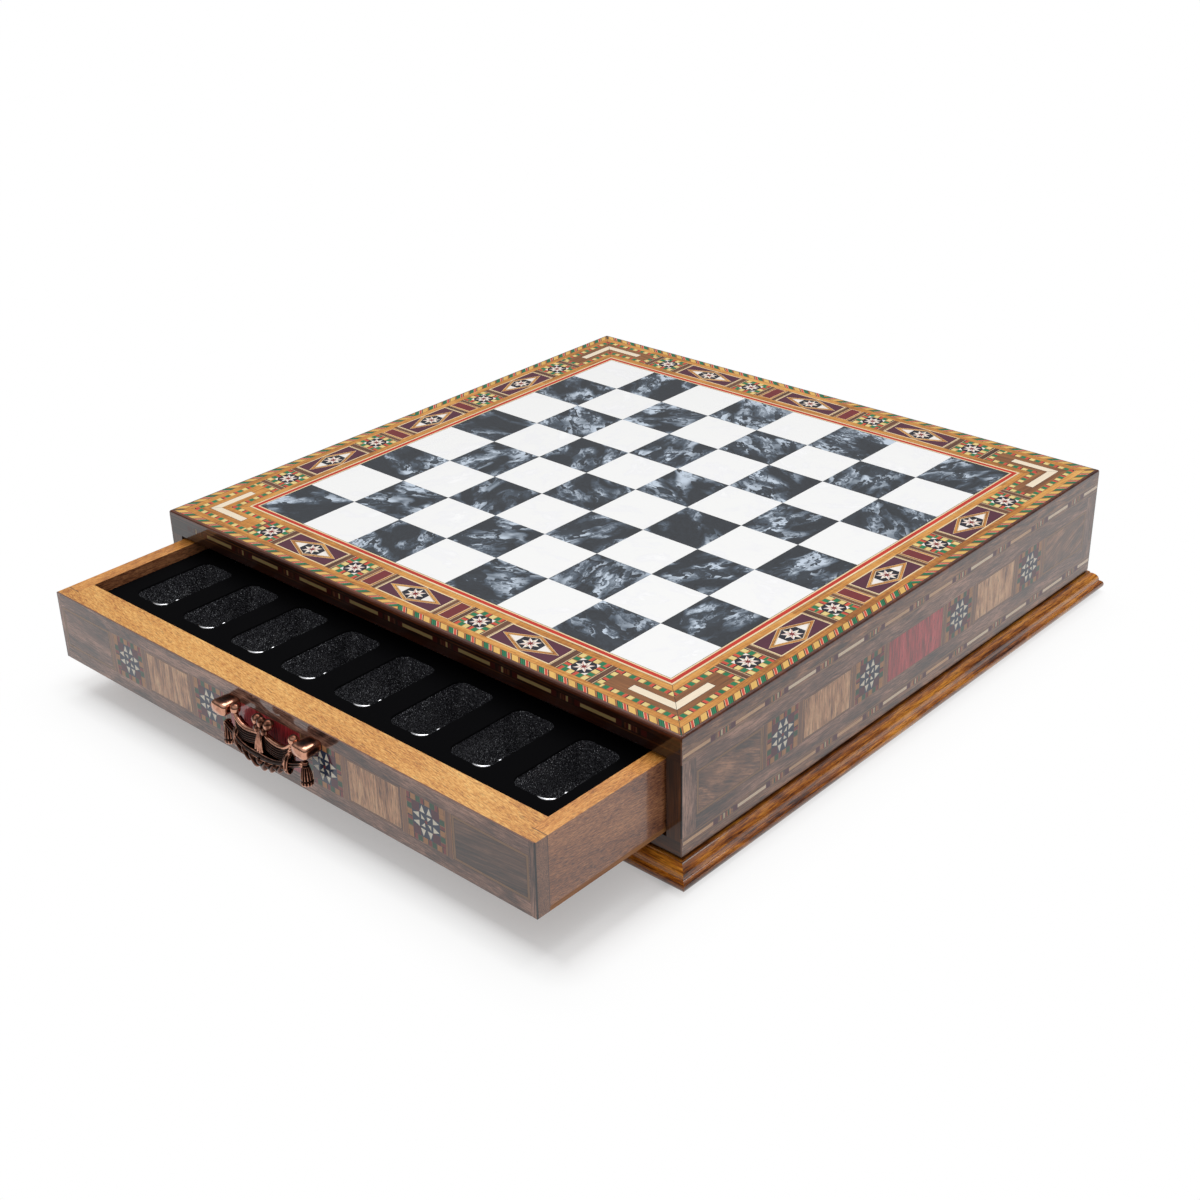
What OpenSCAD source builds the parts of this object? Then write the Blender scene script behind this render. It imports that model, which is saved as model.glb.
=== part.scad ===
// Chess box with two drawers: a marquetry playing board on a low case, a base moulding,
// and a drawer with a pocketed tray and a cast swag handle on the front and on the rear.
// Millimetres, +Z up. The origin is the centre of the underside. The front faces -Y.

/* [Playing field] */
// Side of one playing square
square = 38; // [37.5:0.5:44]

/* [Border rings, from the squares outwards] */
// Width of each of the two pale lines
pale_line_w = 1.1; // [0.6:0.1:1.6]
// Width of the red line between the pale lines
red_line_w = 2.3; // [1.2:0.1:2.6]
// Width of the plain band inside the tile row
inner_band_w = 4.1; // [3.4:0.1:6]
// Width of the row of rosettes and diamonds
tile_row_w = 18.7; // [17.5:0.1:20]
// Width of the plain band outside the tile row
outer_band_w = 3.8; // [3:0.1:6]
// Width of the strip of coloured blocks
block_strip_w = 4.2; // [3.6:0.1:6]
// Width of the solid edge bead on the top
bead_w = 1.7; // [1.3:0.1:2.4]
// Height of the edge bead
bead_h = 2.6; // [2:0.1:4]
// Radius of the bead's outer edge
bead_r = 1.4; // [0.6:0.1:1.6]

/* [Border tiles] */
// Length of a diamond panel
diamond_w = 41.5; // [38:0.5:43]
// Margin of an inlay inside the tile row
row_margin = 0.8; // [0.4:0.1:2]
// Length of the pale rhombus in a diamond panel
rhombus_w = 34; // [28:0.5:37]
// Height of the pale rhombus in a diamond panel
rhombus_h = 14; // [12:0.5:15]
// Radius of the eight-pointed stars on the top
top_star_r = 4.6; // [3.6:0.1:5]
// Radius of the octagon inside a rosette's frame
rosette_r = 6.4; // [5.6:0.1:7.5]
// Length of a red block
red_block_w = 7; // [6:0.5:9]
// Length of a corner panel along the edge
corner_arm = 48.3; // [44:0.5:50]
// Width of the pale corner bars
corner_bar_w = 4.5; // [3:0.5:6]
// Length of the pale corner bars
corner_bar_l = 28; // [20:1:34]
// How far the tiles of the front border lie left of the middle
front_row_shift = 3.2; // [0:0.1:4]

/* [Case] */
// Height of the case above the base moulding
case_h = 65.7; // [64:0.1:80]
// Thickness of the walls, with their veneer
wall_t = 9.1; // [8.2:0.1:10.4]
// Thickness of all veneer and inlay
veneer_t = 0.8; // [0.5:0.1:1.1]
// Glue line between neighbouring pieces of marquetry
glue_line = 0.1; // [0.06:0.02:0.2]
// Height of the rail above the drawers, up to the playing surface
top_rail_h = 13.8; // [12.5:0.1:16]
// Height of the rail under the drawers
bottom_rail_h = 8.9; // [7:0.1:11]
// Thickness of the board under the playing field
top_board_t = 9; // [6:0.5:10.5]
// Thickness of the base board
base_board_t = 6; // [4:0.5:9]
// Thickness of the partition between the drawers
partition_t = 9; // [6:0.5:11]
// Width of the drawer runners
runner_w = 12; // [8:1:20]
// Bare line left between the side veneer and the moulding
shadow_line_h = 1.2; // [0.6:0.1:2]

/* [Side marquetry] */
// Side of a star tile
star_tile_w = 24.4; // [22:0.1:25]
// Gap between neighbouring panels
panel_gap = 4.1; // [3:0.1:5]
// Length of the red panel in the middle of a side
side_red_w = 51; // [44:0.5:56]
// Length of the light panels of a side
side_light_w = 40.3; // [34:0.1:44]
// Distance from the playing surface to the middle of the panel row
panel_row_drop = 34.5; // [33:0.1:36]
// How far the panels of a side lie right of its middle, seen from outside
side_row_shift = 1.3; // [0:0.1:2.5]
// Length of the red panel of a drawer
drawer_red_w = 55; // [46:0.5:58]
// Length of the light panels of a drawer
drawer_light_w = 37; // [30:0.5:40]
// How far the panels of a drawer lie left of its middle
drawer_row_shift = 2.2; // [0:0.1:3]
// Length of a pale bar in the strips
bar_l = 21.8; // [16:0.1:26]
// Height of a pale bar in the strips
bar_h = 2.1; // [1.4:0.1:2.8]
// Distance from one pale bar to the next
bar_pitch = 40.4; // [36:0.1:44]
// Distance from the playing surface to the upper strip of a side
upper_strip_drop = 10.6; // [9:0.1:13]
// How far the bars of that strip lie right of the middle, seen from outside
upper_strip_shift = 2; // [0:0.1:4]
// Distance from the playing surface to the lower strip of a side
lower_strip_drop = 57.6; // [56:0.1:59]
// How far the bars of that strip lie right of the middle, seen from outside
lower_strip_shift = 4.7; // [0:0.1:6]
// Distance from the playing surface to the strip of the front and rear rails
rail_strip_drop = 6.6; // [5:0.1:8]
// How far the bars of that strip lie left of the middle, seen from outside
rail_strip_shift = 2.3; // [0:0.1:4]

/* [Base moulding] */
// Height of the moulding
moulding_h = 12.3; // [11:0.1:15]
// How far the moulding stands out from the case
moulding_out = 7.6; // [6:0.1:9]
// Radius of the half-round at the foot
torus_r = 2.9; // [2.4:0.1:3.3]
// Height of the recessed foot under the half-round
foot_h = 0.3; // [0.2:0.1:0.8]
// How far the quarter-round sits back behind the half-round
quirk_in = 2.2; // [1.4:0.1:3]
// How far the top ledge stands out from the case
ledge_out = 1.2; // [0.8:0.1:2]
// Height of the top ledge
ledge_h = 0.6; // [0.4:0.1:1]
// Thickness of the felt under the box
felt_t = 1; // [0.6:0.1:2]
// How far the felt stays inside the moulding's foot
felt_inset = 2; // [1:0.1:5]

/* [Drawers] */
// How far the front drawer stands open
drawer_out = 84.6; // [40:0.1:130]
// Clearance at each end of a drawer face
side_gap = 1.2; // [0.6:0.1:2]
// Clearance above a drawer
top_gap = 1.8; // [0.8:0.1:2.5]
// Clearance between a drawer face and the rail below it
bottom_gap = 1.6; // [0.8:0.1:2.5]
// Clearance between a drawer and its runners
runner_clearance = 0.3; // [0.2:0.1:0.6]
// Clearance between a drawer and the partition
back_gap = 1.5; // [0.5:0.1:3]
// Thickness of a drawer face
face_t = 18.2; // [16.5:0.1:20]
// Thickness of the lip that covers the ends of the drawer sides
lip_t = 8; // [6:0.1:10]
// Thickness of the drawer sides
drawer_side_t = 9; // [7:0.1:11]
// Thickness of the drawer back
drawer_back_t = 9; // [7:0.1:11]
// Thickness of the drawer bottom
drawer_bottom_t = 2.5; // [2:0.1:4]

/* [Tray] */
// How far the tray's deck lies below the drawer's rim
tray_drop = 6.6; // [4:0.1:8]
// Clearance round the tray
tray_gap = 0.5; // [0.2:0.1:1]
// Width of a pocket
pocket_w = 25.5; // [22:0.5:29]
// Depth of a pocket
pocket_depth = 26; // [20:0.5:27]
// Length of a pawn pocket
pawn_pocket_l = 50; // [46:0.5:53]
// Length of a piece pocket
piece_pocket_l = 72; // [68:0.5:75]
// Radius of a pocket's corners, seen from above
pocket_corner_r = 6; // [4:0.5:8]
// Radius between a pocket's walls and its floor
pocket_floor_r = 7; // [4:0.5:9]
// Distance from the end of the tray to the first pocket
pocket_end_margin = 13; // [8:0.5:16]
// Distance from the front of the tray to the pawn pockets
pocket_front_margin = 15; // [12:0.5:17]
// Distance between the two rows of pockets
pocket_row_gap = 10; // [7:0.5:12]

/* [Handles] */
// How far a handle sits right of its drawer's middle
handle_shift = 5.8; // [0:0.1:8]
// Distance between the two posts
post_spacing = 61; // [60:0.5:66]
// Width of a post
post_w = 11; // [9:0.5:12]
// How far a post stands out from the drawer
post_out = 11.5; // [10:0.5:13]
// Height of a post
post_h = 7; // [6:0.5:8]
// Radius of a post's rounded edges
post_edge_r = 2.8; // [1.5:0.1:3]
// Distance from the drawer's rim to the bail's pivot
pivot_drop = 8.7; // [7:0.1:11]
// Distance from the drawer face to the bail's pivot
pivot_out = 6; // [5.6:0.1:7]
// Radius of the bail's pivot pins
pin_r = 1.2; // [1:0.1:1.4]
// Radial clearance of the pivot pins
pin_clearance = 0.05; // [0.03:0.01:0.08]
// Length of a pivot pin inside its post
pin_l = 2.8; // [2:0.1:3.2]
// Radius of the balls at the ends of the bail
ball_r = 2.7; // [2.4:0.1:3.2]
// How far the middle of a ball lies over the pivot
ball_rise = 1.2; // [0:0.1:1.4]
// Gap between a ball and its post
ball_gap = 0.3; // [0.2:0.1:0.8]
// Thickness of the swag at its rim, between its ribs
swag_t = 3; // [2:0.1:4]
// How far the flat back of the swag lies behind the pivot
swag_back = 2.4; // [2:0.1:3]
// How far the swag leans out at its foot, in degrees
swag_lean = 10; // [0:1:14]
// Distance from the pivot down to the lowest points of the swag's rim
rim_drop = 5.5; // [4:0.5:7]
// Distance from the middle of the swag to those points
rim_low_x = 12.5; // [10:0.5:14]
// Distance from the pivot down to the rim at the middle of the swag
knot_drop = 3; // [1.5:0.5:3.5]
// Distance from the pivot to the foot of the swag's ends
swag_end_drop = 13.5; // [12:0.5:15]
// Distance from the pivot to the foot of the swag's middle
swag_drop = 17; // [15.5:0.5:19]
// Radius of the rib along the rim
rim_r = 1.6; // [1.2:0.1:2]
// Radius of the pleats
pleat_r = 1; // [0.7:0.1:1.3]
// Number of pleats between the rim and the foot
pleats = 3; // [2:1:4]
// Radius of the lobes of the leaf under the swag
lobe_r = 2.7; // [2:0.1:3.2]
// Number of lobes on each side of the leaf's middle one
lobes = 4; // [3:1:5]
// Thickness of the leaf
leaf_t = 2; // [1.2:0.1:3]
// How far the leaf stands in front of the swag's middle plane
leaf_out = 1.8; // [1:0.1:3]
// Radius of the bulbs of the finial
bulb_r = 2.6; // [2:0.1:2.9]
// Height of the finial's bulbs over the pivot
bulb_rise = 3.4; // [2.6:0.1:4.2]
// Height of the band that binds each end of the swag
binding_h = 13; // [10:0.5:14]
// Distance from the pivot down to the middle of that band
binding_drop = 12.4; // [11:0.1:13.5]
// How far that band sits inside the ball
binding_in = 3; // [2:0.1:4]
// Depth of that band
binding_t = 6; // [5:0.1:7]
// Radius of the tassels at their hem
tassel_r = 3.4; // [2.8:0.1:4.2]
// Length of the tassels
tassel_l = 13.5; // [11:0.5:15]
// Distance from the pivot down to the tassels
tassel_drop = 8.6; // [8.2:0.1:10]
// Radius of the screws that hold the posts
screw_r = 1.75; // [1.5:0.05:2]
// Radius of the screw heads
screw_head_r = 3.8; // [3.2:0.1:4.4]
// Height of the screw heads
screw_head_h = 2.4; // [2:0.1:3]
// How far the screw heads lie below the wood
screw_sunk = 0.8; // [0.4:0.1:1.5]
// Clearance round the screws
screw_clearance = 0.15; // [0.1:0.05:0.3]

/* [Hidden] */
$fn = 64;

// The board has eight squares each way, and a tray has a pocket for each file
files = 8;

// Half extents of the border rings, from the squares outwards
field = files * square / 2;
red_in = field + pale_line_w;
red_out = red_in + red_line_w;
border_in = red_out + pale_line_w;
tile_in = border_in + inner_band_w;
tile_out = tile_in + tile_row_w;
border_out = tile_out + outer_band_w;
bead_in = border_out + block_strip_w;
half = bead_in + bead_w;
tile_mid = (tile_in + tile_out) / 2;

// Heights
case_z = felt_t + moulding_h;
top_z = case_z + case_h;
inlay_z = top_z - veneer_t;
bead_z = top_z - bead_h;
veneer_z = case_z + shadow_line_h;
opening_top = top_z - top_rail_h;
opening_bottom = case_z + bottom_rail_h;
board_z = inlay_z - top_board_t;
base_top = felt_t + base_board_t;
panel_row_z = top_z - panel_row_drop;

// Plan of the case
core = half - veneer_t;
inside = half - wall_t;
moulding_edge = half + moulding_out;

// Drawer, drawn closed at the front
drawer_half = inside - side_gap;
drawer_top = opening_top - top_gap;
drawer_foot = opening_bottom + bottom_gap;
drawer_mid_z = (drawer_top + drawer_foot) / 2;
floor_top = drawer_foot + drawer_bottom_t;
lip_back = -half + lip_t;
face_back = -half + face_t;
drawer_end = -partition_t / 2 - back_gap;
drawer_inside = drawer_half - drawer_side_t;
runner_top = drawer_foot - runner_clearance;

// Tray, drawn with the drawer closed
tray_half = drawer_inside - tray_gap;
tray_front = face_back + tray_gap;
tray_rear = drawer_end - drawer_back_t - tray_gap;
deck_z = drawer_top - tray_drop;
pocket_first = -tray_half + pocket_end_margin + pocket_w / 2;
pocket_pitch = -2 * pocket_first / (files - 1);
pawn_row_y = tray_front + pocket_front_margin + pawn_pocket_l / 2;
piece_row_y = pawn_row_y + (pawn_pocket_l + piece_pocket_l) / 2 + pocket_row_gap;

// Handle
pivot = [handle_shift, -half - pivot_out, drawer_top - pivot_drop];
post_inner = (post_spacing - post_w) / 2;
ball_x = post_inner - ball_gap - ball_r;
binding_x = ball_x - binding_in;
screw_seat = face_back - screw_sunk - screw_head_h;

// Centres of the border tiles along one edge, each gap between them the same
run = tile_out - corner_arm;
tile_gap = (run - 1.5 * diamond_w - red_block_w - 2 * tile_row_w) / 5;
red_block_x = diamond_w / 2 + tile_gap + red_block_w / 2;
inner_rosette_x = red_block_x + (red_block_w + tile_row_w) / 2 + tile_gap;
outer_diamond_x = inner_rosette_x + (tile_row_w + diamond_w) / 2 + tile_gap;
outer_rosette_x = outer_diamond_x + (diamond_w + tile_row_w) / 2 + tile_gap;

// Centres of the panels in a row, counted from the middle of the side
function inner_star(red) = red / 2 + panel_gap + star_tile_w / 2;
function light_panel(red, light) = inner_star(red) + star_tile_w / 2 + panel_gap + light / 2;
function outer_star(red, light) = light_panel(red, light) + light / 2 + panel_gap + star_tile_w / 2;

// Corners of a star with a number of points, long and short radii in turn
function star_points(points, long, short) =
    [for (i = [0:2 * points - 1]) let (a = i * 180 / points, r = i % 2 == 0 ? long : short)
        [r * cos(a), r * sin(a)]];

// Box between two opposite corners
module block(low, high) {
    translate(low) cube(high - low);
}

module mirrored_x() {
    children();
    mirror([1, 0, 0]) children();
}

// The same thing on all four sides of the case
module on_four_sides() {
    for (turn = [0:90:270])
        rotate(turn) children();
}

// Puts a thing drawn on the front onto one side of the case
module on_side(turn) {
    rotate(turn) children();
}

// A drawing in X and Z stands upright at y, with its thickness behind y
module upright(y, thickness) {
    translate([0, y + thickness, 0]) rotate([90, 0, 0]) linear_extrude(thickness) children();
}

module rounded_rectangle(width, length, r) {
    square([width - 2 * r, length], center = true);
    square([width, length - 2 * r], center = true);
    for (x = [-1, 1], y = [-1, 1])
        translate([x * (width / 2 - r), y * (length / 2 - r)]) circle(r);
}

// The front quarter of the plan, between two mitre lines
module mitre_wedge(reach, low, high) {
    translate([0, 0, low]) linear_extrude(high - low)
        polygon([[0, 0], [-reach, -reach], [reach, -reach]]);
}

// One mitred strip of a ring, on the front side, with a glue line at each mitre
module ring_strip(inner, outer, low, high) {
    translate([0, 0, low]) linear_extrude(high - low)
        polygon([
            [-outer + glue_line, -outer], [outer - glue_line, -outer],
            [inner - glue_line, -inner], [-inner + glue_line, -inner]
        ]);
}

// ---- Case ----

// Places of the edge beads, cut out of the walls, the rails and the board
module bead_channel() {
    difference() {
        block([-half - 1, -half - 1, bead_z], [half + 1, half + 1, top_z + 1]);
        block([-bead_in, -bead_in, bead_z - 1], [bead_in, bead_in, top_z + 2]);
    }
}

module side_wall() {
    color("saddlebrown") difference() {
        block([inside, -core, case_z], [core, core, inlay_z]);
        bead_channel();
    }
}

module top_rail() {
    color("saddlebrown") difference() {
        block([-inside, -core, opening_top], [inside, -inside, inlay_z]);
        bead_channel();
    }
}

module bottom_rail() {
    color("saddlebrown") block([-inside, -core, case_z], [inside, -inside, opening_bottom]);
}

module centre_partition() {
    color("burlywood")
        block([-inside, -partition_t / 2, base_top], [inside, partition_t / 2, board_z]);
}

module top_board() {
    color("burlywood") block([-inside, -inside, board_z], [inside, inside, inlay_z]);
}

module base_board() {
    color("burlywood") block([-inside, -inside, felt_t], [inside, inside, base_top]);
}

module base_felt() {
    reach = half + moulding_out - quirk_in - felt_inset;
    color("darkgreen") block([-reach, -reach, 0], [reach, reach, felt_t]);
}

// Two runners in each drawer bay, along the walls
module drawer_runners() {
    color("tan") for (turn = [0, 180])
        rotate(turn) mirrored_x()
            block([inside - runner_w, -inside, base_top], [inside, -partition_t / 2, runner_top]);
}

// Section of the base moulding: ledge, quarter-round, quirk, half-round and foot.
// x counts from the face of the case outwards, y from the moulding's underside up.
module moulding_section() {
    torus_top = foot_h + 2 * torus_r;
    ovolo_r = moulding_h - ledge_h - torus_top;
    ovolo_x = moulding_out - quirk_in - ovolo_r;
    translate([-wall_t, 0]) square([wall_t + ledge_out, moulding_h]);
    translate([-wall_t, 0]) square([wall_t + moulding_out - quirk_in, torus_top]);
    translate([-wall_t, foot_h]) square([wall_t + moulding_out - torus_r, 2 * torus_r]);
    translate([moulding_out - torus_r, foot_h + torus_r]) circle(torus_r);
    intersection() {
        translate([ovolo_x, torus_top]) circle(ovolo_r);
        translate([0, torus_top]) square([moulding_out, moulding_h - torus_top]);
    }
}

module base_moulding() {
    color("peru") intersection() {
        translate([-moulding_edge, -half, felt_t]) rotate([90, 0, 90])
            linear_extrude(2 * moulding_edge) mirror([1, 0]) moulding_section();
        mitre_wedge(moulding_edge + 1, 0, case_z + 1);
    }
}

// Solid edge beads round the top, rounded outside
module edge_beads() {
    color("sienna") on_four_sides() intersection() {
        translate([-half, -half, bead_z]) rotate([90, 0, 90]) linear_extrude(2 * half) {
            square([bead_w, bead_h - bead_r]);
            translate([bead_r, 0]) square([bead_w - bead_r, bead_h]);
            translate([bead_r, bead_h - bead_r]) circle(bead_r);
        }
        ring_strip(bead_in, half, bead_z, top_z);
    }
}

// ---- Top marquetry ----

// The rows of tiles of all four sides, with the front row a little to the left
module tile_rows() {
    for (turn = [0:90:270])
        rotate(turn) translate([turn == 0 ? -front_row_shift : 0, -tile_mid]) children();
}

// Outlines of the tiles in one row
module row_outlines() {
    diamond_outline(0);
    mirrored_x() {
        diamond_outline(outer_diamond_x);
        translate([red_block_x, 0]) red_block_outline();
        for (x = [inner_rosette_x, outer_rosette_x])
            translate([x, 0]) square(tile_row_w + glue_line, center = true);
    }
}

module diamond_outline(x) {
    translate([x, 0]) square([diamond_w + glue_line, tile_row_w + glue_line], center = true);
}

module red_block_outline() {
    square([red_block_w + glue_line, tile_row_w - 2 * row_margin + glue_line], center = true);
}

// The two bars of one side that meet the next side's bars in the corners
module corner_bar_outlines(grow) {
    reach = tile_mid + corner_bar_w / 2;
    depth = tile_mid - corner_bar_w / 2;
    mirrored_x() polygon([
        [reach - glue_line + grow, -reach - grow / 2],
        [reach - corner_bar_l - grow / 2, -reach - grow / 2],
        [reach - corner_bar_l - grow / 2, -depth + grow / 2],
        [depth - glue_line + grow, -depth + grow / 2]
    ]);
}

// Lays a drawing into the veneer of the top
module in_top() {
    translate([0, 0, inlay_z]) linear_extrude(veneer_t) children();
}

module border_veneer() {
    color("goldenrod") difference() {
        on_four_sides() ring_strip(border_in, border_out, inlay_z, top_z);
        translate([0, 0, inlay_z - 1]) linear_extrude(veneer_t + 2) {
            tile_rows() row_outlines();
            on_four_sides() corner_bar_outlines(glue_line);
        }
    }
}

module block_strips() {
    color("khaki") on_four_sides() ring_strip(border_out, bead_in, inlay_z, top_z);
}

module pale_stringing() {
    color("ivory") on_four_sides() {
        ring_strip(field, red_in, inlay_z, top_z);
        ring_strip(red_out, border_in, inlay_z, top_z);
    }
}

module red_stringing() {
    color("firebrick") on_four_sides() ring_strip(red_in, red_out, inlay_z, top_z);
}

// The squares of one colour: 0 for the colour of the front right corner
module field_squares(parity) {
    inset = glue_line / 2;
    for (column = [0:files - 1], row = [0:files - 1])
        if ((column + row) % 2 != parity)
            block([-field + column * square + inset, -field + row * square + inset, inlay_z],
                [-field + (column + 1) * square - inset, -field + (row + 1) * square - inset, top_z]);
}

module light_squares() {
    color("whitesmoke") field_squares(0);
}

module dark_squares() {
    color("slategray") field_squares(1);
}

// The octagon inside the square frame of a rosette
module rosette_octagon(grow) {
    rotate(22.5) circle(r = rosette_r + grow, $fn = 8);
}

module top_star(grow) {
    polygon(star_points(8, top_star_r + grow, top_star_r * 0.55 + grow));
}

// The square frames and the eight-pointed stars of the rosettes
module rosette_tiles() {
    color("mediumseagreen") in_top() tile_rows() mirrored_x()
        for (x = [inner_rosette_x, outer_rosette_x]) translate([x, 0]) {
            difference() {
                square(tile_row_w, center = true);
                rosette_octagon(glue_line);
            }
            top_star(0);
        }
}

module rhombus(grow) {
    polygon([
        [-rhombus_w / 2 - grow, 0], [0, -rhombus_h / 2 - grow],
        [rhombus_w / 2 + grow, 0], [0, rhombus_h / 2 + grow]
    ]);
}

// The diamond panels, each with a star in the middle of its rhombus
module diamond_panels() {
    color("rebeccapurple") in_top() tile_rows()
        for (x = [-outer_diamond_x, 0, outer_diamond_x])
            translate([x, 0]) {
                difference() {
                    square([diamond_w, tile_row_w], center = true);
                    rhombus(glue_line);
                }
                top_star(0);
            }
}

// The pale grounds round the stars, and the pale bars in the corners
module pale_inlays() {
    color("linen") in_top() {
        tile_rows() {
            for (x = [-outer_diamond_x, 0, outer_diamond_x])
                translate([x, 0]) difference() {
                    rhombus(0);
                    top_star(glue_line);
                }
            mirrored_x() for (x = [inner_rosette_x, outer_rosette_x])
                translate([x, 0]) difference() {
                    rosette_octagon(0);
                    top_star(glue_line);
                }
        }
        on_four_sides() corner_bar_outlines(0);
    }
}

module red_blocks() {
    color("firebrick") in_top() tile_rows() mirrored_x()
        translate([red_block_x, 0])
            square([red_block_w, tile_row_w - 2 * row_margin], center = true);
}

// ---- Side marquetry, drawn in X and Z as seen from the front ----

// Middles of the whole pale bars that fit in a strip of this half length
function bar_centres(reach) =
    [for (i = [0:floor((reach - bar_l / 2) / bar_pitch - 0.5)]) (i + 0.5) * bar_pitch];

module bars(reach, z, grow) {
    mirrored_x() for (x = bar_centres(reach))
        translate([x, z]) square([bar_l + grow, bar_h + grow], center = true);
}

// Squares where the star tiles of one row sit
module star_tile_squares(red, light, z, grow) {
    mirrored_x() for (x = [inner_star(red), outer_star(red, light)])
        translate([x, z]) square(star_tile_w + grow, center = true);
}

module light_panel_shapes(red, light, z, grow) {
    mirrored_x() translate([light_panel(red, light), z])
        square([light + grow, star_tile_w + grow], center = true);
}

module red_panel_shape(red, z, grow) {
    translate([0, z]) square([red + grow, star_tile_w + grow], center = true);
}

module panel_row(red, light, z, grow) {
    star_tile_squares(red, light, z, grow);
    light_panel_shapes(red, light, z, grow);
    red_panel_shape(red, z, grow);
}

// One star tile: a frame, four corner squares, four cells of four triangles, a middle square
module star_tile() {
    cell = star_tile_w / 4;
    difference() {
        square(star_tile_w, center = true);
        square(3 * cell, center = true);
    }
    piece = cell - glue_line;
    square(piece, center = true);
    for (turn = [0:90:270]) rotate(turn) {
        translate([cell, cell]) square(piece, center = true);
        for (point = [0:90:270])
            translate([cell, 0]) rotate(point) polygon([
                [glue_line / 2, 0], [piece / 2, -piece / 2 + glue_line / 2],
                [piece / 2, piece / 2 - glue_line / 2]
            ]);
    }
}

module star_tile_row(red, light, z) {
    mirrored_x() for (x = [inner_star(red), outer_star(red, light)])
        translate([x, z]) star_tile();
}

module side_veneer() {
    color("sienna") upright(-half, veneer_t) difference() {
        translate([-half, veneer_z]) square([2 * half, bead_z - veneer_z]);
        translate([side_row_shift, 0])
            panel_row(side_red_w, side_light_w, panel_row_z, glue_line);
        side_bars(glue_line);
    }
}

// The pale bars of both strips of a side
module side_bars(grow) {
    translate([upper_strip_shift, 0]) bars(half, top_z - upper_strip_drop, grow);
    translate([lower_strip_shift, 0]) bars(half, top_z - lower_strip_drop, grow);
}

// The pale bars of the strip of a front or rear rail
module rail_bars(grow) {
    translate([-rail_strip_shift, 0]) bars(inside, top_z - rail_strip_drop, grow);
}

// The veneer of the front and rear is a frame round the drawer opening
module end_veneer() {
    color("sienna") upright(-half, veneer_t) difference() {
        translate([-core, veneer_z]) square([2 * core, bead_z - veneer_z]);
        translate([-inside, opening_bottom]) square([2 * inside, opening_top - opening_bottom]);
        rail_bars(glue_line);
    }
}

module side_star_tiles() {
    color("midnightblue") for (turn = [90, -90])
        on_side(turn) upright(-half, veneer_t) translate([side_row_shift, 0])
            star_tile_row(side_red_w, side_light_w, panel_row_z);
}

module side_light_panels() {
    color("tan") for (turn = [90, -90])
        on_side(turn) upright(-half, veneer_t) translate([side_row_shift, 0])
            light_panel_shapes(side_red_w, side_light_w, panel_row_z, 0);
}

module side_red_panels() {
    color("brown") for (turn = [90, -90])
        on_side(turn) upright(-half, veneer_t) translate([side_row_shift, 0])
            red_panel_shape(side_red_w, panel_row_z, 0);
}

module side_pale_bars() {
    color("ivory") {
        for (turn = [90, -90]) on_side(turn) upright(-half, veneer_t) side_bars(0);
        for (turn = [0, 180]) on_side(turn) upright(-half, veneer_t)
            rail_bars(0);
    }
}

// ---- Drawer, drawn closed at the front ----

module front_drawer() {
    translate([0, -drawer_out, 0]) children();
}

module rear_drawer() {
    rotate(180) children();
}

module along_y(y) {
    translate([0, y, 0]) rotate([90, 0, 0]) children();
}

// Puts a thing at both posts of the handle, at the height of its pivot
module at_posts() {
    translate([pivot.x, 0, pivot.z]) mirrored_x() translate([post_spacing / 2, 0, 0]) children();
}

// Holes for the screws of the posts, right through the face, its veneer and the inlays
module screw_holes() {
    at_posts() {
        along_y(face_back + 1) cylinder(h = face_t + 2, r = screw_r + screw_clearance);
        along_y(face_back + 1)
            cylinder(h = face_back + 1 - screw_seat, r = screw_head_r + screw_clearance);
    }
}

// The face: a full lip in front, and a thicker part that fits between the sides
module drawer_face() {
    color("goldenrod") difference() {
        union() {
            block([-drawer_half, -half + veneer_t, drawer_foot],
                [drawer_half, lip_back, drawer_top]);
            block([-drawer_inside, -half + veneer_t, floor_top],
                [drawer_inside, face_back, drawer_top]);
        }
        screw_holes();
    }
}

module drawer_side() {
    color("goldenrod") block([drawer_inside, lip_back, floor_top],
        [drawer_half, drawer_end, drawer_top]);
}

module drawer_back() {
    color("goldenrod") block([-drawer_inside, drawer_end - drawer_back_t, floor_top],
        [drawer_inside, drawer_end, drawer_top]);
}

module drawer_bottom() {
    color("burlywood") block([-drawer_half, lip_back, drawer_foot],
        [drawer_half, drawer_end, floor_top]);
}

// Upright section of a pocket: straight walls, rounded into the floor
module pocket_section(width) {
    translate([-width / 2, pocket_floor_r - pocket_depth])
        square([width, pocket_depth - pocket_floor_r + 1]);
    translate([pocket_floor_r - width / 2, -pocket_depth])
        square([width - 2 * pocket_floor_r, 2 * pocket_floor_r]);
    for (side = [-1, 1])
        translate([side * (width / 2 - pocket_floor_r), pocket_floor_r - pocket_depth])
            circle(pocket_floor_r);
}

// A pocket with its mouth at z = 0: a rounded plan cut by both upright sections
module pocket(length) {
    intersection() {
        translate([0, 0, -pocket_depth - 1]) linear_extrude(pocket_depth + 2)
            rounded_rectangle(pocket_w, length, pocket_corner_r);
        rotate([90, 0, 0]) linear_extrude(length + 2, center = true) pocket_section(pocket_w);
        rotate([90, 0, 90]) linear_extrude(pocket_w + 2, center = true) pocket_section(length);
    }
}

module drawer_tray() {
    color("dimgray") difference() {
        block([-tray_half, tray_front, floor_top], [tray_half, tray_rear, deck_z]);
        for (file = [0:files - 1]) translate([pocket_first + file * pocket_pitch, 0, deck_z]) {
            translate([0, pawn_row_y, 0]) pocket(pawn_pocket_l);
            translate([0, piece_row_y, 0]) pocket(piece_pocket_l);
        }
    }
}

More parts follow.
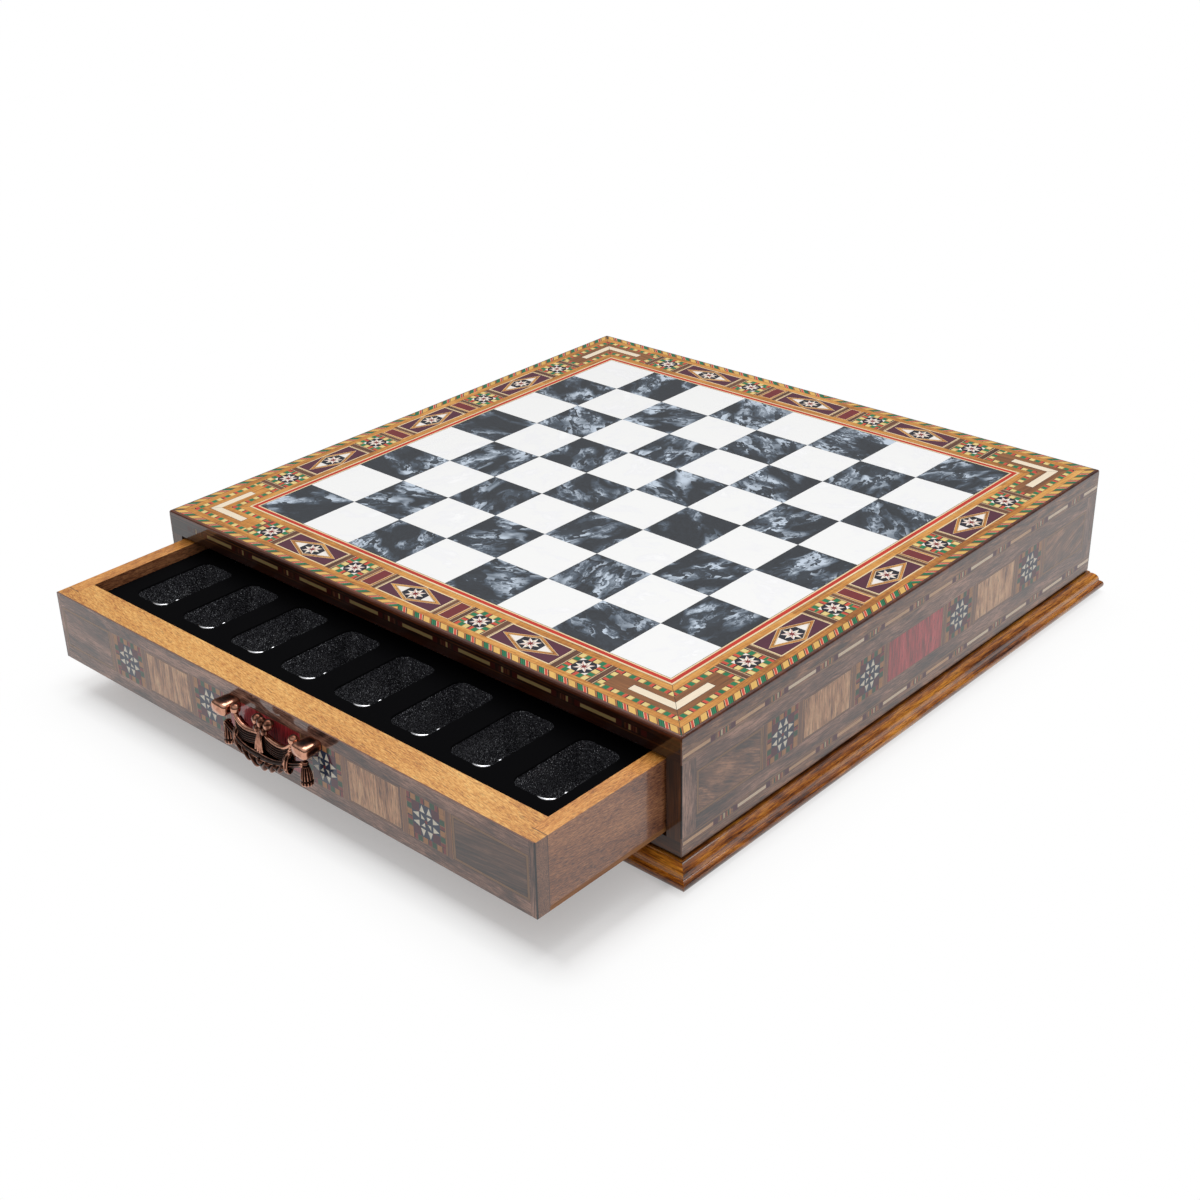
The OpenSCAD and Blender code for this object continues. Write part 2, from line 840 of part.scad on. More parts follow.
module drawer_veneer() {
    color("sienna") difference() {
        upright(-half, veneer_t) difference() {
            translate([-drawer_half, drawer_foot])
                square([2 * drawer_half, drawer_top - drawer_foot]);
            translate([-drawer_row_shift, 0])
                panel_row(drawer_red_w, drawer_light_w, drawer_mid_z, glue_line);
        }
        screw_holes();
    }
}

module drawer_star_tiles() {
    color("midnightblue") difference() {
        upright(-half, veneer_t) translate([-drawer_row_shift, 0])
            star_tile_row(drawer_red_w, drawer_light_w, drawer_mid_z);
        screw_holes();
    }
}

module drawer_panels() {
    color("tan") difference() {
        upright(-half, veneer_t) translate([-drawer_row_shift, 0]) {
            light_panel_shapes(drawer_red_w, drawer_light_w, drawer_mid_z, 0);
            red_panel_shape(drawer_red_w, drawer_mid_z, 0);
        }
        screw_holes();
    }
}

// ---- Handle ----

// A post: a block rounded all round, with a bore for the bail's pin and one for its screw
module handle_posts() {
    back = -half;
    color("sienna") at_posts() difference() {
        translate([0, back - post_out / 2, 0]) intersection() {
            linear_extrude(post_h + 2, center = true)
                rounded_rectangle(post_w, post_out, post_edge_r);
            rotate([90, 0, 0]) linear_extrude(post_out + 2, center = true)
                rounded_rectangle(post_w, post_h, post_edge_r);
            rotate([90, 0, 90]) linear_extrude(post_w + 2, center = true)
                rounded_rectangle(post_out, post_h, post_edge_r);
        }
        translate([-post_w / 2 - 1, pivot.y, 0]) rotate([0, 90, 0])
            cylinder(h = pin_l + 1 + pin_clearance, r = pin_r + pin_clearance);
        along_y(back + 1) cylinder(h = pivot_out + 2, r = screw_r + pin_clearance);
    }
}

// Slotted screws, their heads sunk into the back of the drawer face
module handle_screws() {
    color("silver") at_posts() {
        along_y(screw_seat) cylinder(h = screw_seat - pivot.y, r = screw_r);
        difference() {
            along_y(screw_seat + screw_head_h) cylinder(h = screw_head_h, r = screw_head_r);
            block([-screw_head_r, screw_seat + screw_head_h / 2, -0.5],
                [screw_head_r, face_back, 0.5]);
        }
    }
}

// Radius of an arc of this half width and this sag
function arc_radius(reach, sag) = (reach * reach + sag * sag) / (2 * sag);

// Disc whose lowest point is at z = -drop, and whose edge passes through [reach, -end_drop]
module arc_disc(reach, end_drop, drop) {
    r = arc_radius(reach, drop - end_drop);
    translate([0, r - drop]) circle(r);
}

// A round rib along such an arc, in the plane y = 0
module rib(reach, end_drop, drop, r) {
    arc = arc_radius(reach, drop - end_drop);
    sweep = asin(reach / arc);
    translate([0, 0, arc - drop]) rotate([90, 0, 0]) rotate(-90 - sweep)
        rotate_extrude(angle = 2 * sweep) translate([arc, 0]) circle(r);
}

// Half of such a rib, from its lowest point out to [reach, -end_drop]
module half_rib(reach, end_drop, drop, r) {
    arc = arc_radius(reach, drop - end_drop);
    translate([0, 0, arc - drop]) rotate([90, 0, 0]) rotate(-90)
        rotate_extrude(angle = asin(reach / arc)) translate([arc, 0]) circle(r);
}

// A rope hung from the knot to both ends in two arcs that meet at its lowest points
module rope(knot_drop, drop, end_drop, end_x, r) {
    mirrored_x() translate([rim_low_x, 0, 0]) {
        half_rib(end_x - rim_low_x, end_drop, drop, r);
        mirror([1, 0, 0]) half_rib(rim_low_x, knot_drop, drop, r);
    }
}

// What lies over one such arc, out to its end
module over_arc(reach, end_drop, drop) {
    intersection() {
        arc_disc(reach, end_drop, drop);
        translate([-0.5, -drop - 1]) square([reach + 1, drop + 2]);
    }
}

// A drawing in X and Z, given this thickness and centred on the plane y = 0
module plate(thickness) {
    rotate([90, 0, 0]) linear_extrude(thickness, center = true) children();
}

// Upright outline of the swag: a deep rim, a shallow foot and slanted ends
module swag_outline() {
    intersection() {
        difference() {
            arc_disc(binding_x, swag_end_drop, swag_drop);
            mirrored_x() translate([rim_low_x, 0]) {
                over_arc(ball_x - rim_low_x, 0, rim_drop);
                mirror([1, 0]) over_arc(rim_low_x, knot_drop, rim_drop);
            }
        }
        polygon([[-ball_x, 0], [ball_x, 0], [binding_x, -swag_drop], [-binding_x, -swag_drop]]);
    }
}

// Body of the swag: its back is upright, and its front leans out towards the foot
module swag_body() {
    intersection() {
        plate(2 * swag_drop) swag_outline();
        block([-ball_x, -swag_drop, -swag_drop], [ball_x, swag_back, 0]);
        rotate([-swag_lean, 0, 0])
            block([-ball_x, -swag_t / 2, -2 * swag_drop], [ball_x, 2 * swag_drop, swag_drop]);
    }
}

// Ribs along the rim and the foot of the swag, with the pleats between them
module swag_ribs() {
    rope(knot_drop, rim_drop, 0, ball_x, rim_r);
    translate([0, -pleat_r, 0]) {
        for (i = [1:pleats]) let (t = i / (pleats + 1))
            rib(ball_x - t * binding_in, t * (swag_end_drop - 3 * pleat_r),
                rim_drop + t * (swag_drop - 3 * pleat_r - rim_drop), pleat_r);
        for (up = [1, 3]) rib(binding_x, swag_end_drop - up * pleat_r, swag_drop - up * pleat_r,
            pleat_r * 1.2);
    }
}

// The leaf under the swag: a row of lobes that grows towards the middle
module leaf() {
    step = binding_x / (lobes + 0.5);
    translate([0, -leaf_out, 0]) for (i = [-lobes:lobes]) let (t = abs(i) / lobes)
        translate([0, -0.5 * (1 - t), 0]) plate(leaf_t)
            translate([i * step, -swag_drop - lobe_r * 0.3 + t * (swag_drop - swag_end_drop - 0.5)])
                circle(lobe_r * (1 - 0.25 * t));
}

// Four bulbs over a fluted stem at the middle of the swag
module finial() {
    mirrored_x() {
        translate([bulb_r, -0.6, bulb_rise]) sphere(bulb_r);
        translate([bulb_r * 0.7, -1.8, bulb_rise - bulb_r * 1.4]) sphere(bulb_r * 0.72);
    }
    stem_l = swag_drop - 4;
    translate([0, -pleat_r, 0]) for (flute = [-2:2])
        rotate([0, flute * 7, 0]) translate([0, 0, -stem_l + abs(flute)])
            cylinder(h = stem_l + bulb_rise - abs(flute) * 2, r1 = 1.1, r2 = 1.3);
}

// The band round the end of the swag, and the gathered tail that runs on to the tassel
module binding() {
    tail_z = -tassel_drop - tassel_l * 0.12;
    for (i = [-1:1])
        translate([binding_x + i * 0.9, 0, -binding_drop]) rotate([90, 0, 90])
            linear_extrude(0.9, center = true) rounded_rectangle(binding_t - abs(i) * 0.8,
                binding_h - abs(i) * 0.8, binding_t / 2 - 0.5);
    translate([binding_x, 0, tail_z]) rotate([0, 90, 0])
        cylinder(h = post_spacing / 2 - binding_x, r1 = 2.6, r2 = 1.7);
}

// A tassel hanging from its knot: a bell that widens to its hem
module tassel() {
    neck_r = tassel_r * 0.5;
    rotate_extrude() polygon([
        [0, 0], [neck_r, 0], [neck_r, -tassel_l * 0.15], [tassel_r * 0.72, -tassel_l * 0.4],
        [tassel_r * 0.9, -tassel_l * 0.75], [tassel_r, -tassel_l * 0.8],
        [tassel_r, -tassel_l], [0, -tassel_l]
    ]);
}

// The cast bail: the swag between its two balls, a finial, a leaf, two bands, two tassels
module handle_bail() {
    color("sienna") translate(pivot) {
        swag_body();
        rotate([-swag_lean, 0, 0]) {
            swag_ribs();
            leaf();
            finial();
            mirrored_x() binding();
        }
        mirrored_x() {
            translate([ball_x, 0, ball_rise]) sphere(ball_r);
            translate([ball_x, 0, 0]) rotate([0, 90, 0])
                cylinder(h = post_inner + pin_l - ball_x, r = pin_r);
            translate([post_spacing / 2, 0, -tassel_drop]) tassel();
        }
    }
}

mirror([1, 0, 0]) side_wall();  // left_wall
side_wall();  // right_wall
top_rail();  // front_top_rail
rotate(180) top_rail();  // rear_top_rail
bottom_rail();  // front_bottom_rail
rotate(180) bottom_rail();  // rear_bottom_rail
centre_partition();
top_board();
base_board();
base_felt();
drawer_runners();
base_moulding();  // front_moulding
on_side(180) base_moulding();  // rear_moulding
on_side(-90) base_moulding();  // left_moulding
on_side(90) base_moulding();  // right_moulding
edge_beads();
border_veneer();
block_strips();
pale_stringing();
red_stringing();
light_squares();
dark_squares();
rosette_tiles();
diamond_panels();
pale_inlays();
red_blocks();
on_side(-90) side_veneer();  // left_veneer
on_side(90) side_veneer();  // right_veneer
end_veneer();  // front_veneer
on_side(180) end_veneer();  // rear_veneer
side_star_tiles();
side_light_panels();
side_red_panels();
side_pale_bars();
front_drawer() drawer_face();  // front_drawer_face
front_drawer() mirror([1, 0, 0]) drawer_side();  // front_drawer_left_side
front_drawer() drawer_side();  // front_drawer_right_side
front_drawer() drawer_back();  // front_drawer_back
front_drawer() drawer_bottom();  // front_drawer_bottom
front_drawer() drawer_tray();  // front_drawer_tray
front_drawer() drawer_veneer();  // front_drawer_veneer
front_drawer() drawer_star_tiles();  // front_drawer_star_tiles
front_drawer() drawer_panels();  // front_drawer_panels
front_drawer() handle_posts();  // front_drawer_posts
front_drawer() handle_screws();  // front_drawer_screws
front_drawer() handle_bail();  // front_drawer_bail
rear_drawer() drawer_face();  // rear_drawer_face
rear_drawer() mirror([1, 0, 0]) drawer_side();  // rear_drawer_left_side
rear_drawer() drawer_side();  // rear_drawer_right_side
rear_drawer() drawer_back();  // rear_drawer_back
rear_drawer() drawer_bottom();  // rear_drawer_bottom
rear_drawer() drawer_tray();  // rear_drawer_tray
rear_drawer() drawer_veneer();  // rear_drawer_veneer
rear_drawer() drawer_star_tiles();  // rear_drawer_star_tiles
rear_drawer() drawer_panels();  // rear_drawer_panels
rear_drawer() handle_posts();  // rear_drawer_posts
rear_drawer() handle_screws();  // rear_drawer_screws
rear_drawer() handle_bail();  // rear_drawer_bail
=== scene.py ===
import random
from functools import partialmethod
from math import atan2, copysign, cos, degrees, exp, hypot, pi, radians, sin, sqrt, tau

import bmesh
import bpy
import numpy as np
from mathutils import Matrix, Vector, geometry


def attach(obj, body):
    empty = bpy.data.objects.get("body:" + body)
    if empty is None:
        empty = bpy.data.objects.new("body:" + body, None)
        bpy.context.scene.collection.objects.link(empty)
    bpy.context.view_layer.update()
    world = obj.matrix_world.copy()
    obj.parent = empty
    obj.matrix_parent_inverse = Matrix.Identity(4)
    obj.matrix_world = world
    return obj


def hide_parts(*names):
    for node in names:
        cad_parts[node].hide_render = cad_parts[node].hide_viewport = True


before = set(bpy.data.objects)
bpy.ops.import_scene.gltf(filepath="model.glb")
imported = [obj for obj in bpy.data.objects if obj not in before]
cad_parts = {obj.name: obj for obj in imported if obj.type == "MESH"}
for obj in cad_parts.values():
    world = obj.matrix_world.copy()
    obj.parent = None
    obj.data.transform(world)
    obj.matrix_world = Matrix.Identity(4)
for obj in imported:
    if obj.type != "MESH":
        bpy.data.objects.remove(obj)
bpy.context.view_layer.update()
scene = bpy.context.scene
MM = 0.001

# ---- sizes, in mm, as in the CAD
HALF, TOP = 189, 79
FIELD, SQUARE = 152, 38
RED_IN, RED_OUT, BORDER_IN = 153.1, 155.4, 156.5
TILE_IN, TILE_OUT, BORDER_OUT, BEAD_IN = 160.6, 179.3, 183.1, 187.3
TILE_MID = (TILE_IN + TILE_OUT) / 2
TILE, DIAMOND, BLOCK = 9.35, 20.75, 3.5     # half widths along the border
BEAD_Z, VENEER_Z, VENEER_T = 76.4, 14.5, 0.8
INSIDE, OPEN_LOW, OPEN_HIGH = 179.9, 22.2, 65.2
DRAWER_HALF, DRAWER_FOOT, DRAWER_TOP, DRAWER_OUT = 178.7, 23.8, 63.4, 84.6
LIP_T = 8
PANEL_H, STAR, GAP = 12.2, 24.4, 4.1        # half height, tile and space in the rows of the sides
DECK_Z, FLOOR_TOP = 56.8, 26.3
TRAY_HALF, TRAY_FRONT, TRAY_REAR = 169.2, -170.3, -15.5
POCKET_HALF, POCKET_R = 12.75, 6
DRAWERS = (("front", 0, -DRAWER_OUT), ("rear", 180, 0))


# ---- shader helpers
def linear(colour, k=1):
    """A linear colour, k times as bright, from a grey, from 0 to 255 values or from a linear colour."""
    if isinstance(colour, (int, float)):
        rgb = (colour,) * 3
    elif len(colour) == 3:
        rgb = [c / 12.92 if c <= 0.04045 else ((c + 0.055) / 1.055) ** 2.4 for c in (v / 255 for v in colour)]
    else:
        rgb = colour[:3]
    return tuple(min(1, c * k) for c in rgb) + (1,)


class Value:
    """A node's first output, or another by its name; each operation on it adds a node to its tree."""

    def __init__(self, socket):
        self.socket, self.tree = socket, socket.id_data

    def __getitem__(self, output):
        return Value(self.socket.node.outputs[output])

    def calc(self, operation, other=0, clamp=False):
        return node(self.tree, "Math", {"operation": operation, "use_clamp": clamp}, i0=self, i1=other)

    def vector(self, operation, *others):
        ins = {f"i{k}": other for k, other in enumerate(others, 1)}
        return node(self.tree, "VectorMath", {"operation": operation}, i0=self, **ins)

    __add__ = partialmethod(calc, "ADD")
    __sub__ = partialmethod(calc, "SUBTRACT")
    __mul__ = partialmethod(calc, "MULTIPLY")
    __gt__ = partialmethod(calc, "GREATER_THAN")
    __lt__ = partialmethod(calc, "LESS_THAN")
    __abs__ = partialmethod(calc, "ABSOLUTE")
    most = partialmethod(calc, "MAXIMUM")


def put(n, **ins):
    """Sets a node's inputs, by name or by number as in i0, to a number, a colour or another node's output."""
    for k, v in ins.items():
        s = n.inputs[int(k[1:])] if k[1:].isdigit() else n.inputs[k.replace("_", " ")]
        if isinstance(v, Value):
            v.tree.links.new(v.socket, s)
        else:
            s.default_value = v


def node(tree, kind, props=None, **ins):
    n = tree.nodes.new("ShaderNode" + kind)
    for k, v in (props or {}).items():
        setattr(n, k, v)
    put(n, **ins)
    return Value(n.outputs[0])


def shader(name):
    """A new material, its tree and its Principled node."""
    m = bpy.data.materials.new(name)
    m.use_nodes = True
    t = m.node_tree
    t.nodes.clear()
    out = t.nodes.new("ShaderNodeOutputMaterial")
    b = t.nodes.new("ShaderNodeBsdfPrincipled")
    t.links.new(b.outputs[0], out.inputs[0])
    return m, t, b


def ramp(fac, *stops):
    n = node(fac.tree, "ValToRGB", Fac=fac)
    elements = n.socket.node.color_ramp.elements
    while len(elements) < len(stops):
        elements.new(0.5)
    for element, (position, colour) in zip(elements, stops):
        element.position, element.color = position, linear(colour)
    return n


def mix(fac, a, b):
    a, b = [c if isinstance(c, Value) else linear(c) for c in (a, b)]
    return node(fac.tree, "Mix", {"data_type": "RGBA"}, i0=fac, i6=a, i7=b)[2]


def noise(v, scale, detail=2, rough=0.5, distortion=0):
    return node(v.tree, "TexNoise", Vector=v, Scale=scale, Detail=detail, Roughness=rough, Distortion=distortion)


def scaled(v, x, y=1, z=1):
    return node(v.tree, "Mapping", Vector=v, Scale=(x, y, z))


def bump(height, strength, distance=0.0002):
    return node(height.tree, "Bump", Strength=strength, Distance=distance, Height=height)


def here(t):
    """The point's own place, which is its place in the row frame at rest."""
    return node(t, "TexCoord")["Object"]


def parts(t, output="Object"):
    return node(t, "SeparateXYZ", Vector=node(t, "TexCoord")[output])


def grain(t, turn):
    """Coordinates in mm with X along the grain: the piece's own map, or the row frame turned."""
    if turn is None:
        return node(t, "UVMap", {"uv_map": "grain"})
    return node(t, "Mapping", Vector=scaled(here(t), 1000, 1000, 1000), Rotation=turn)


ALONG_X = (0, 0, 0)
ALONG_Y = (0, 0, -pi / 2)


def wood(name, dark, mid, light, figure=0.05, fine=0.9, stretch=14, pores=0.35, contrast=1, turn=None,
         rough=0.42, coat=0.8, coat_rough=0.05, bumps=0.1, ripple=0, shade_paint=None):
    """Lacquered wood: broad figure, fine fibres and dark pores along the grain; an optional function paints shade
    into its colour by place.
    """
    m, t, b = shader(name)
    v = grain(t, turn)
    fibres = scaled(v, 0.35 / stretch)
    val = noise(scaled(v, 1 / stretch), figure, 3, 0.55, 0.9) * 0.5 + noise(fibres, fine * 0.5, 4, 0.72) * 0.5
    if ripple:
        val += (noise(scaled(v, 1, 0.25, 0.25), 0.5) - 0.5) * ripple
    half = 0.17 / contrast
    col = ramp(val, (0.5 - half, dark), (0.5, mid), (0.5 + half, light))
    pore = ramp(noise(fibres, fine * 1.2, 3, 0.7), (0.54, 0), (0.66, 1))
    col = mix(pore * pores, col, linear(dark, 0.35))
    put(b, Base_Color=shade_paint(t, col) if shade_paint else col, Roughness=rough, Specular_IOR_Level=0.2, Coat_Weight=coat,
        Coat_Roughness=coat_rough, Normal=bump(val, bumps))
    return m


def dyed(name, colour, spread):
    """A small dyed piece of marquetry: one colour with faint fibres, lighter or darker by piece."""
    return wood(name, linear(colour, 1 - spread), colour, linear(colour, 1 + spread), 0.11, 2.2, 6, 0.18, 0.9,
                rough=0.4, bumps=0.05)


# ---- the woods
# dark, middle and light colour; figure, fineness, stretch, pores and contrast
TOP_WOODS = {
    "walnut": ((58, 32, 20), (98, 60, 40), (138, 92, 62), 0.05, 1.6, 8),
    "walnut_panel": ((92, 54, 28), (138, 88, 48), (176, 118, 66), 0.1, 1.2, 8),
    "walnut_field": ((70, 38, 24), (112, 70, 44), (164, 110, 66), 0.12, 1.4, 7)}
SIDE_WOODS = {
    "veneer": ((50, 31, 27), (128, 90, 75), (200, 152, 130), 0.07, 2.2, 3.5, 0.7, 1.6),
    "veneer_end": ((56, 32, 22), (124, 82, 60), (194, 140, 106), 0.14, 1.8, 3.5, 0.6, 1.5),
    "end_dark": ((34, 20, 15), (96, 66, 52), (150, 110, 88), 0.08, 1.5, 7, 0.6, 1.6),
    "separator": ((76, 44, 28), (130, 84, 58), (170, 116, 82), 0.05, 1.6, 8, 0.35, 1.2),
    "light_panel": ((116, 70, 44), (208, 150, 108), (252, 204, 154), 0.18, 1.7, 4, 0.7, 1.5),
    "red_panel": ((112, 22, 30), (190, 50, 58), (222, 84, 92), 0.12, 1.4, 5, 1, 1.4)}
# front_wood and rail_wood are darker than the sides' veneer: painted shade on the case front and on the rails over
# the drawers
FRONT_WOODS = {
    "front_wood": ((26, 10, 3), (66, 34, 12), (116, 68, 28), 0.08, 1, 8, 0.5, 1.2),
    "rail_wood": ((16, 5, 2), (40, 15, 5), (70, 30, 10), 0.08, 1, 9, 0.4)}
# colour, and how far it varies
DYES = {
    "purple": (84, 30, 52, 0.22), "red_block": (118, 34, 38, 0.22), "cream": (240, 216, 172, 0.14),
    "ivory": (244, 228, 202, 0.07), "white": (244, 238, 232, 0.06), "blush": (224, 190, 176, 0.08),
    "red_line": (196, 44, 18, 0.25), "green": (18, 120, 76, 0.3), "coral": (206, 74, 54, 0.22),
    "yellow": (226, 180, 96, 0.16), "pale_yellow": (232, 208, 134, 0.12), "black": (22, 20, 24, 0.3),
    "ebony": (16, 18, 34, 0.3), "navy": (16, 42, 76, 0.3), "maroon": (82, 16, 44, 0.25),
    "dark_red": (126, 26, 26, 0.25), "tan": (176, 116, 60, 0.2), "side_cream": (226, 206, 172, 0.12),
    "star_cream": (252, 242, 222, 0.08), "side_green": (20, 80, 52, 0.3), "side_coral": (140, 50, 50, 0.25),
    "side_tan": (186, 130, 82, 0.2), "bar_cream": (255, 230, 202, 0.1), "bar_tan": (226, 182, 142, 0.15),
    # rail_block and rail_bar: the strip's squares and bars in darker copies, painted shade
    "rail_block": (70, 18, 10, 0.2), "rail_bar": (168, 146, 96, 0.12), "panel_line": (150, 112, 82, 0.2)}
M = {"honey": wood("honey", (140, 78, 22), (206, 138, 58), (238, 180, 98), 0.05, 1.3, 9, 0.45, 1.15, ripple=0.15)}
M.update((k, wood(k, *row)) for k, row in TOP_WOODS.items())
M.update((k, wood(k, *row, coat=1, coat_rough=0.03)) for k, row in SIDE_WOODS.items())
M.update((k, wood(k, *row, coat=1, coat_rough=0.04)) for k, row in FRONT_WOODS.items())
M.update((k, dyed(k, colour, spread)) for k, (*colour, spread) in DYES.items())


# ---- making pieces
def turned_place(turn, shift=0):
    """Maps mm on the front side to the row frame, with that side turned into place and shifted along Y."""
    rot = Matrix.Rotation(radians(turn), 3, "Z")
    return lambda x, y, z: rot @ Vector((x * MM, y * MM, z * MM)) + Vector((0, shift * MM, 0))


def new_object(name, data):
    ob = bpy.data.objects.new(name, data)
    scene.collection.objects.link(ob)
    return ob


def make_piece(bm, name, mats, body, replaced):
    bmesh.ops.recalc_face_normals(bm, faces=bm.faces)
    me = bpy.data.meshes.new(name)
    bm.to_mesh(me)
    bm.free()
    for mat in mats:
        me.materials.append(mat)
    ob = new_object(name, me)
    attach(ob, body)
    if replaced:
        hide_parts(*replaced)
    return ob


# ---- marquetry as a planar partition
def clip(poly, edges):
    """Convex clipping: edges are (point, inward normal)."""
    for (px, py), (nx, ny) in edges:
        out = []
        for p, q in zip(poly, poly[1:] + poly[:1]):
            d1, d2 = [(x - px) * nx + (y - py) * ny for x, y in (p, q)]
            if d1 >= 0:
                out.append(p)
            if d1 > 0 > d2 or d1 < 0 < d2:
                k = d1 / (d1 - d2)
                out.append((p[0] + (q[0] - p[0]) * k, p[1] + (q[1] - p[1]) * k))
        poly = out
    return poly


def area(poly):
    return sum(poly[i - 1][0] * p[1] - p[0] * poly[i - 1][1] for i, p in enumerate(poly)) / 2


class Inlay:
    """Polygons in mm, painted one over the other, then cut into one flat layer of pieces."""

    def __init__(self, seed, limits=()):
        self.items, self.limits, self.rnd = [], limits, random.Random(seed)
        self.flip, self.shift = 1, 0

    def add(self, pts, mat, angle=0, jitter=True):
        """Each piece has its own place in the grain, unless jitter is off."""
        pts = clip([(self.flip * x + self.shift, y) for x, y in pts], self.limits)
        a = area(pts)
        if abs(a) < 1e-4:
            return
        if a < 0:
            pts = pts[::-1]
        draw = self.rnd.uniform
        off = (draw(0, 900), draw(0, 900)) if jitter else (0, 0)
        tilt = radians(angle * self.flip + (draw(-4, 4) if jitter else 0))
        self.items.append((pts, mat, tilt, off))

    def rect(self, x0, y0, x1, y1, mat, angle=0, jitter=True):
        self.add([(x0, y0), (x1, y0), (x1, y1), (x0, y1)], mat, angle, jitter)

    def block(self, cx, cy, w, h, mat, angle=0):
        """A rectangle by its middle and its half sides."""
        self.rect(cx - w, cy - h, cx + w, cy + h, mat, angle)

    def nest(self, x0, y0, x1, y1, *layers):
        """Rectangles in one another: (inset, material, angle)."""
        for k, mat, angle in layers:
            self.rect(x0 + k, y0 + k, x1 - k, y1 - k, mat, angle)

    def frame(self, x0, y0, x1, y1, w, mat):
        for ends in ((x0, y0, x1, y0 + w, mat), (x0, y1 - w, x1, y1, mat), (x0, y0, x0 + w, y1, mat, 90),
                     (x1 - w, y0, x1, y1, mat, 90)):
            self.rect(*ends)

    def build(self, name, place, body, replaced):
        """place maps (x, y, depth) in mm to the row frame; depth counts from the surface down."""
        index, faces = {}, {}
        for n, (pts, *_) in enumerate(self.items):
            ids = []
            for x, y in pts:
                k = index.setdefault((round(x, 3), round(y, 3)), len(index))
                if ids[-1:] != [k]:
                    ids.append(k)
            if len(ids) > 1 and ids[0] == ids[-1]:
                ids.pop()
            if len(ids) > 2:
                faces[n] = ids
        used = list(faces)
        cut, _, cut_faces, _, _, origins = geometry.delaunay_2d_cdt(
            [Vector(k) for k in index], [], list(faces.values()), 1, 1e-4)
        bm = bmesh.new()
        uv = bm.loops.layers.uv.new("grain")
        top, low = [[bm.verts.new(place(v.x, v.y, depth)) for v in cut] for depth in (0, VENEER_T)]
        mats, edges = {}, {}
        for f, origin in zip(cut_faces, origins):
            # the polygon painted last wins, and one without a material is a hole
            if not origin:
                continue
            _, mat, tilt, off = self.items[used[max(origin)]]
            if mat is None:
                continue
            try:
                face = bm.faces.new([top[i] for i in f])
            except ValueError:
                continue
            face.material_index = mats.setdefault(mat, len(mats))
            c, s = cos(tilt), sin(tilt)
            for loop, i in zip(face.loops, f):
                x, y = cut[i].x, cut[i].y
                loop[uv].uv = (c * x + s * y + off[0], -s * x + c * y + off[1])
            bm.faces.new([low[i] for i in reversed(f)]).material_index = face.material_index
            for a, b in zip(f, f[1:] + f[:1]):
                edges.setdefault(frozenset((a, b)), []).append((a, b, face.material_index))
        for (a, b, mi), *more in edges.values():
            if not more:
                bm.faces.new([top[b], top[a], low[a], low[b]]).material_index = mi
        bmesh.ops.delete(bm, geom=[v for v in bm.verts if not v.link_faces], context="VERTS")
        make_piece(bm, name, [M[mat] for mat in mats], body, replaced)


def polar(cx, cy, r, a):
    return cx + r * cos(a), cy + r * sin(a)


# The sliced stick of beads: (material, width in mm)
BEADS = [("green", 2.9), ("tan", 0.4), ("coral", 1.7), ("black", 0.7), ("pale_yellow", 3), ("tan", 0.5)]
BEAD_STEP = sum(w for _, w in BEADS)


def bead_run(d, x0, y0, x1, y1, across, start, dyes={}):
    """Beads along the line from (x0, y0) to (x1, y1), across wide."""
    length = hypot(x1 - x0, y1 - y0)
    ux, uy = (x1 - x0) / length, (y1 - y0) / length
    px, py = -uy * across / 2, ux * across / 2
    pos = -(start % BEAD_STEP)
    ang = degrees(atan2(uy, ux)) + 90
    while pos < length:
        for mat, w in BEADS:
            a, b = max(pos, 0), min(pos + w * d.rnd.uniform(0.97, 1.03), length)
            if b > a + 0.02:
                d.add([(x0 + ux * k + way * px, y0 + uy * k + way * py)
                       for k, way in ((a, -1), (b, -1), (b, 1), (a, 1))], dyes.get(mat, mat), ang)
            pos += w


def bead_frame(d, cx, cy, s, h, slack, along, upright, dyes={}):
    """Four runs of beads in the frame from h to s out of the middle."""
    mid, w = (s + h) / 2, s - h - slack
    bead_run(d, cx - s, cy + mid, cx + s, cy + mid, w, along, dyes)
    bead_run(d, cx + s, cy - mid, cx - s, cy - mid, w, along, dyes)
    bead_run(d, cx + mid, cy + h, cx + mid, cy - h, w, upright, dyes)
    bead_run(d, cx - mid, cy - h, cx - mid, cy + h, w, upright, dyes)


def star8(d, cx, cy, big, heart):
    """Eight split petals round a small dark red flower."""
    for i in range(8):
        for way, mat in ((-1, "white"), (1, "blush" if i % 2 else "ivory")):
            a = radians(i * 45)
            d.add([(cx, cy), polar(cx, cy, big, a), polar(cx, cy, big * 0.49, a + way * radians(22.5))], mat, i * 45)
    for i in range(8):
        a, out, inner = radians(i * 45), heart * (1.1 if i % 2 else 1.3), heart * 0.42
        d.add([(cx, cy), polar(cx, cy, inner, a - 0.39), polar(cx, cy, out, a), polar(cx, cy, inner, a + 0.39)],
              "dark_red", i * 45)


def rosette(d, cx, cy):
    s, h, corner = TILE, 5.7, 2.6
    d.block(cx, cy, s, s, "tan")
    bead_frame(d, cx, cy, s, h, 0.25, 5.2, 1.4)
    d.block(cx, cy, h, h, "ebony")
    for sx, sy in ((1, 1), (-1, 1), (-1, -1), (1, -1)):
        x, y = cx + sx * h, cy + sy * h
        d.add([(x, y), (cx + sx * (h - corner), y), (x, cy + sy * (h - corner))], "white", 45)
    star8(d, cx, cy, 5.5, 2.3)


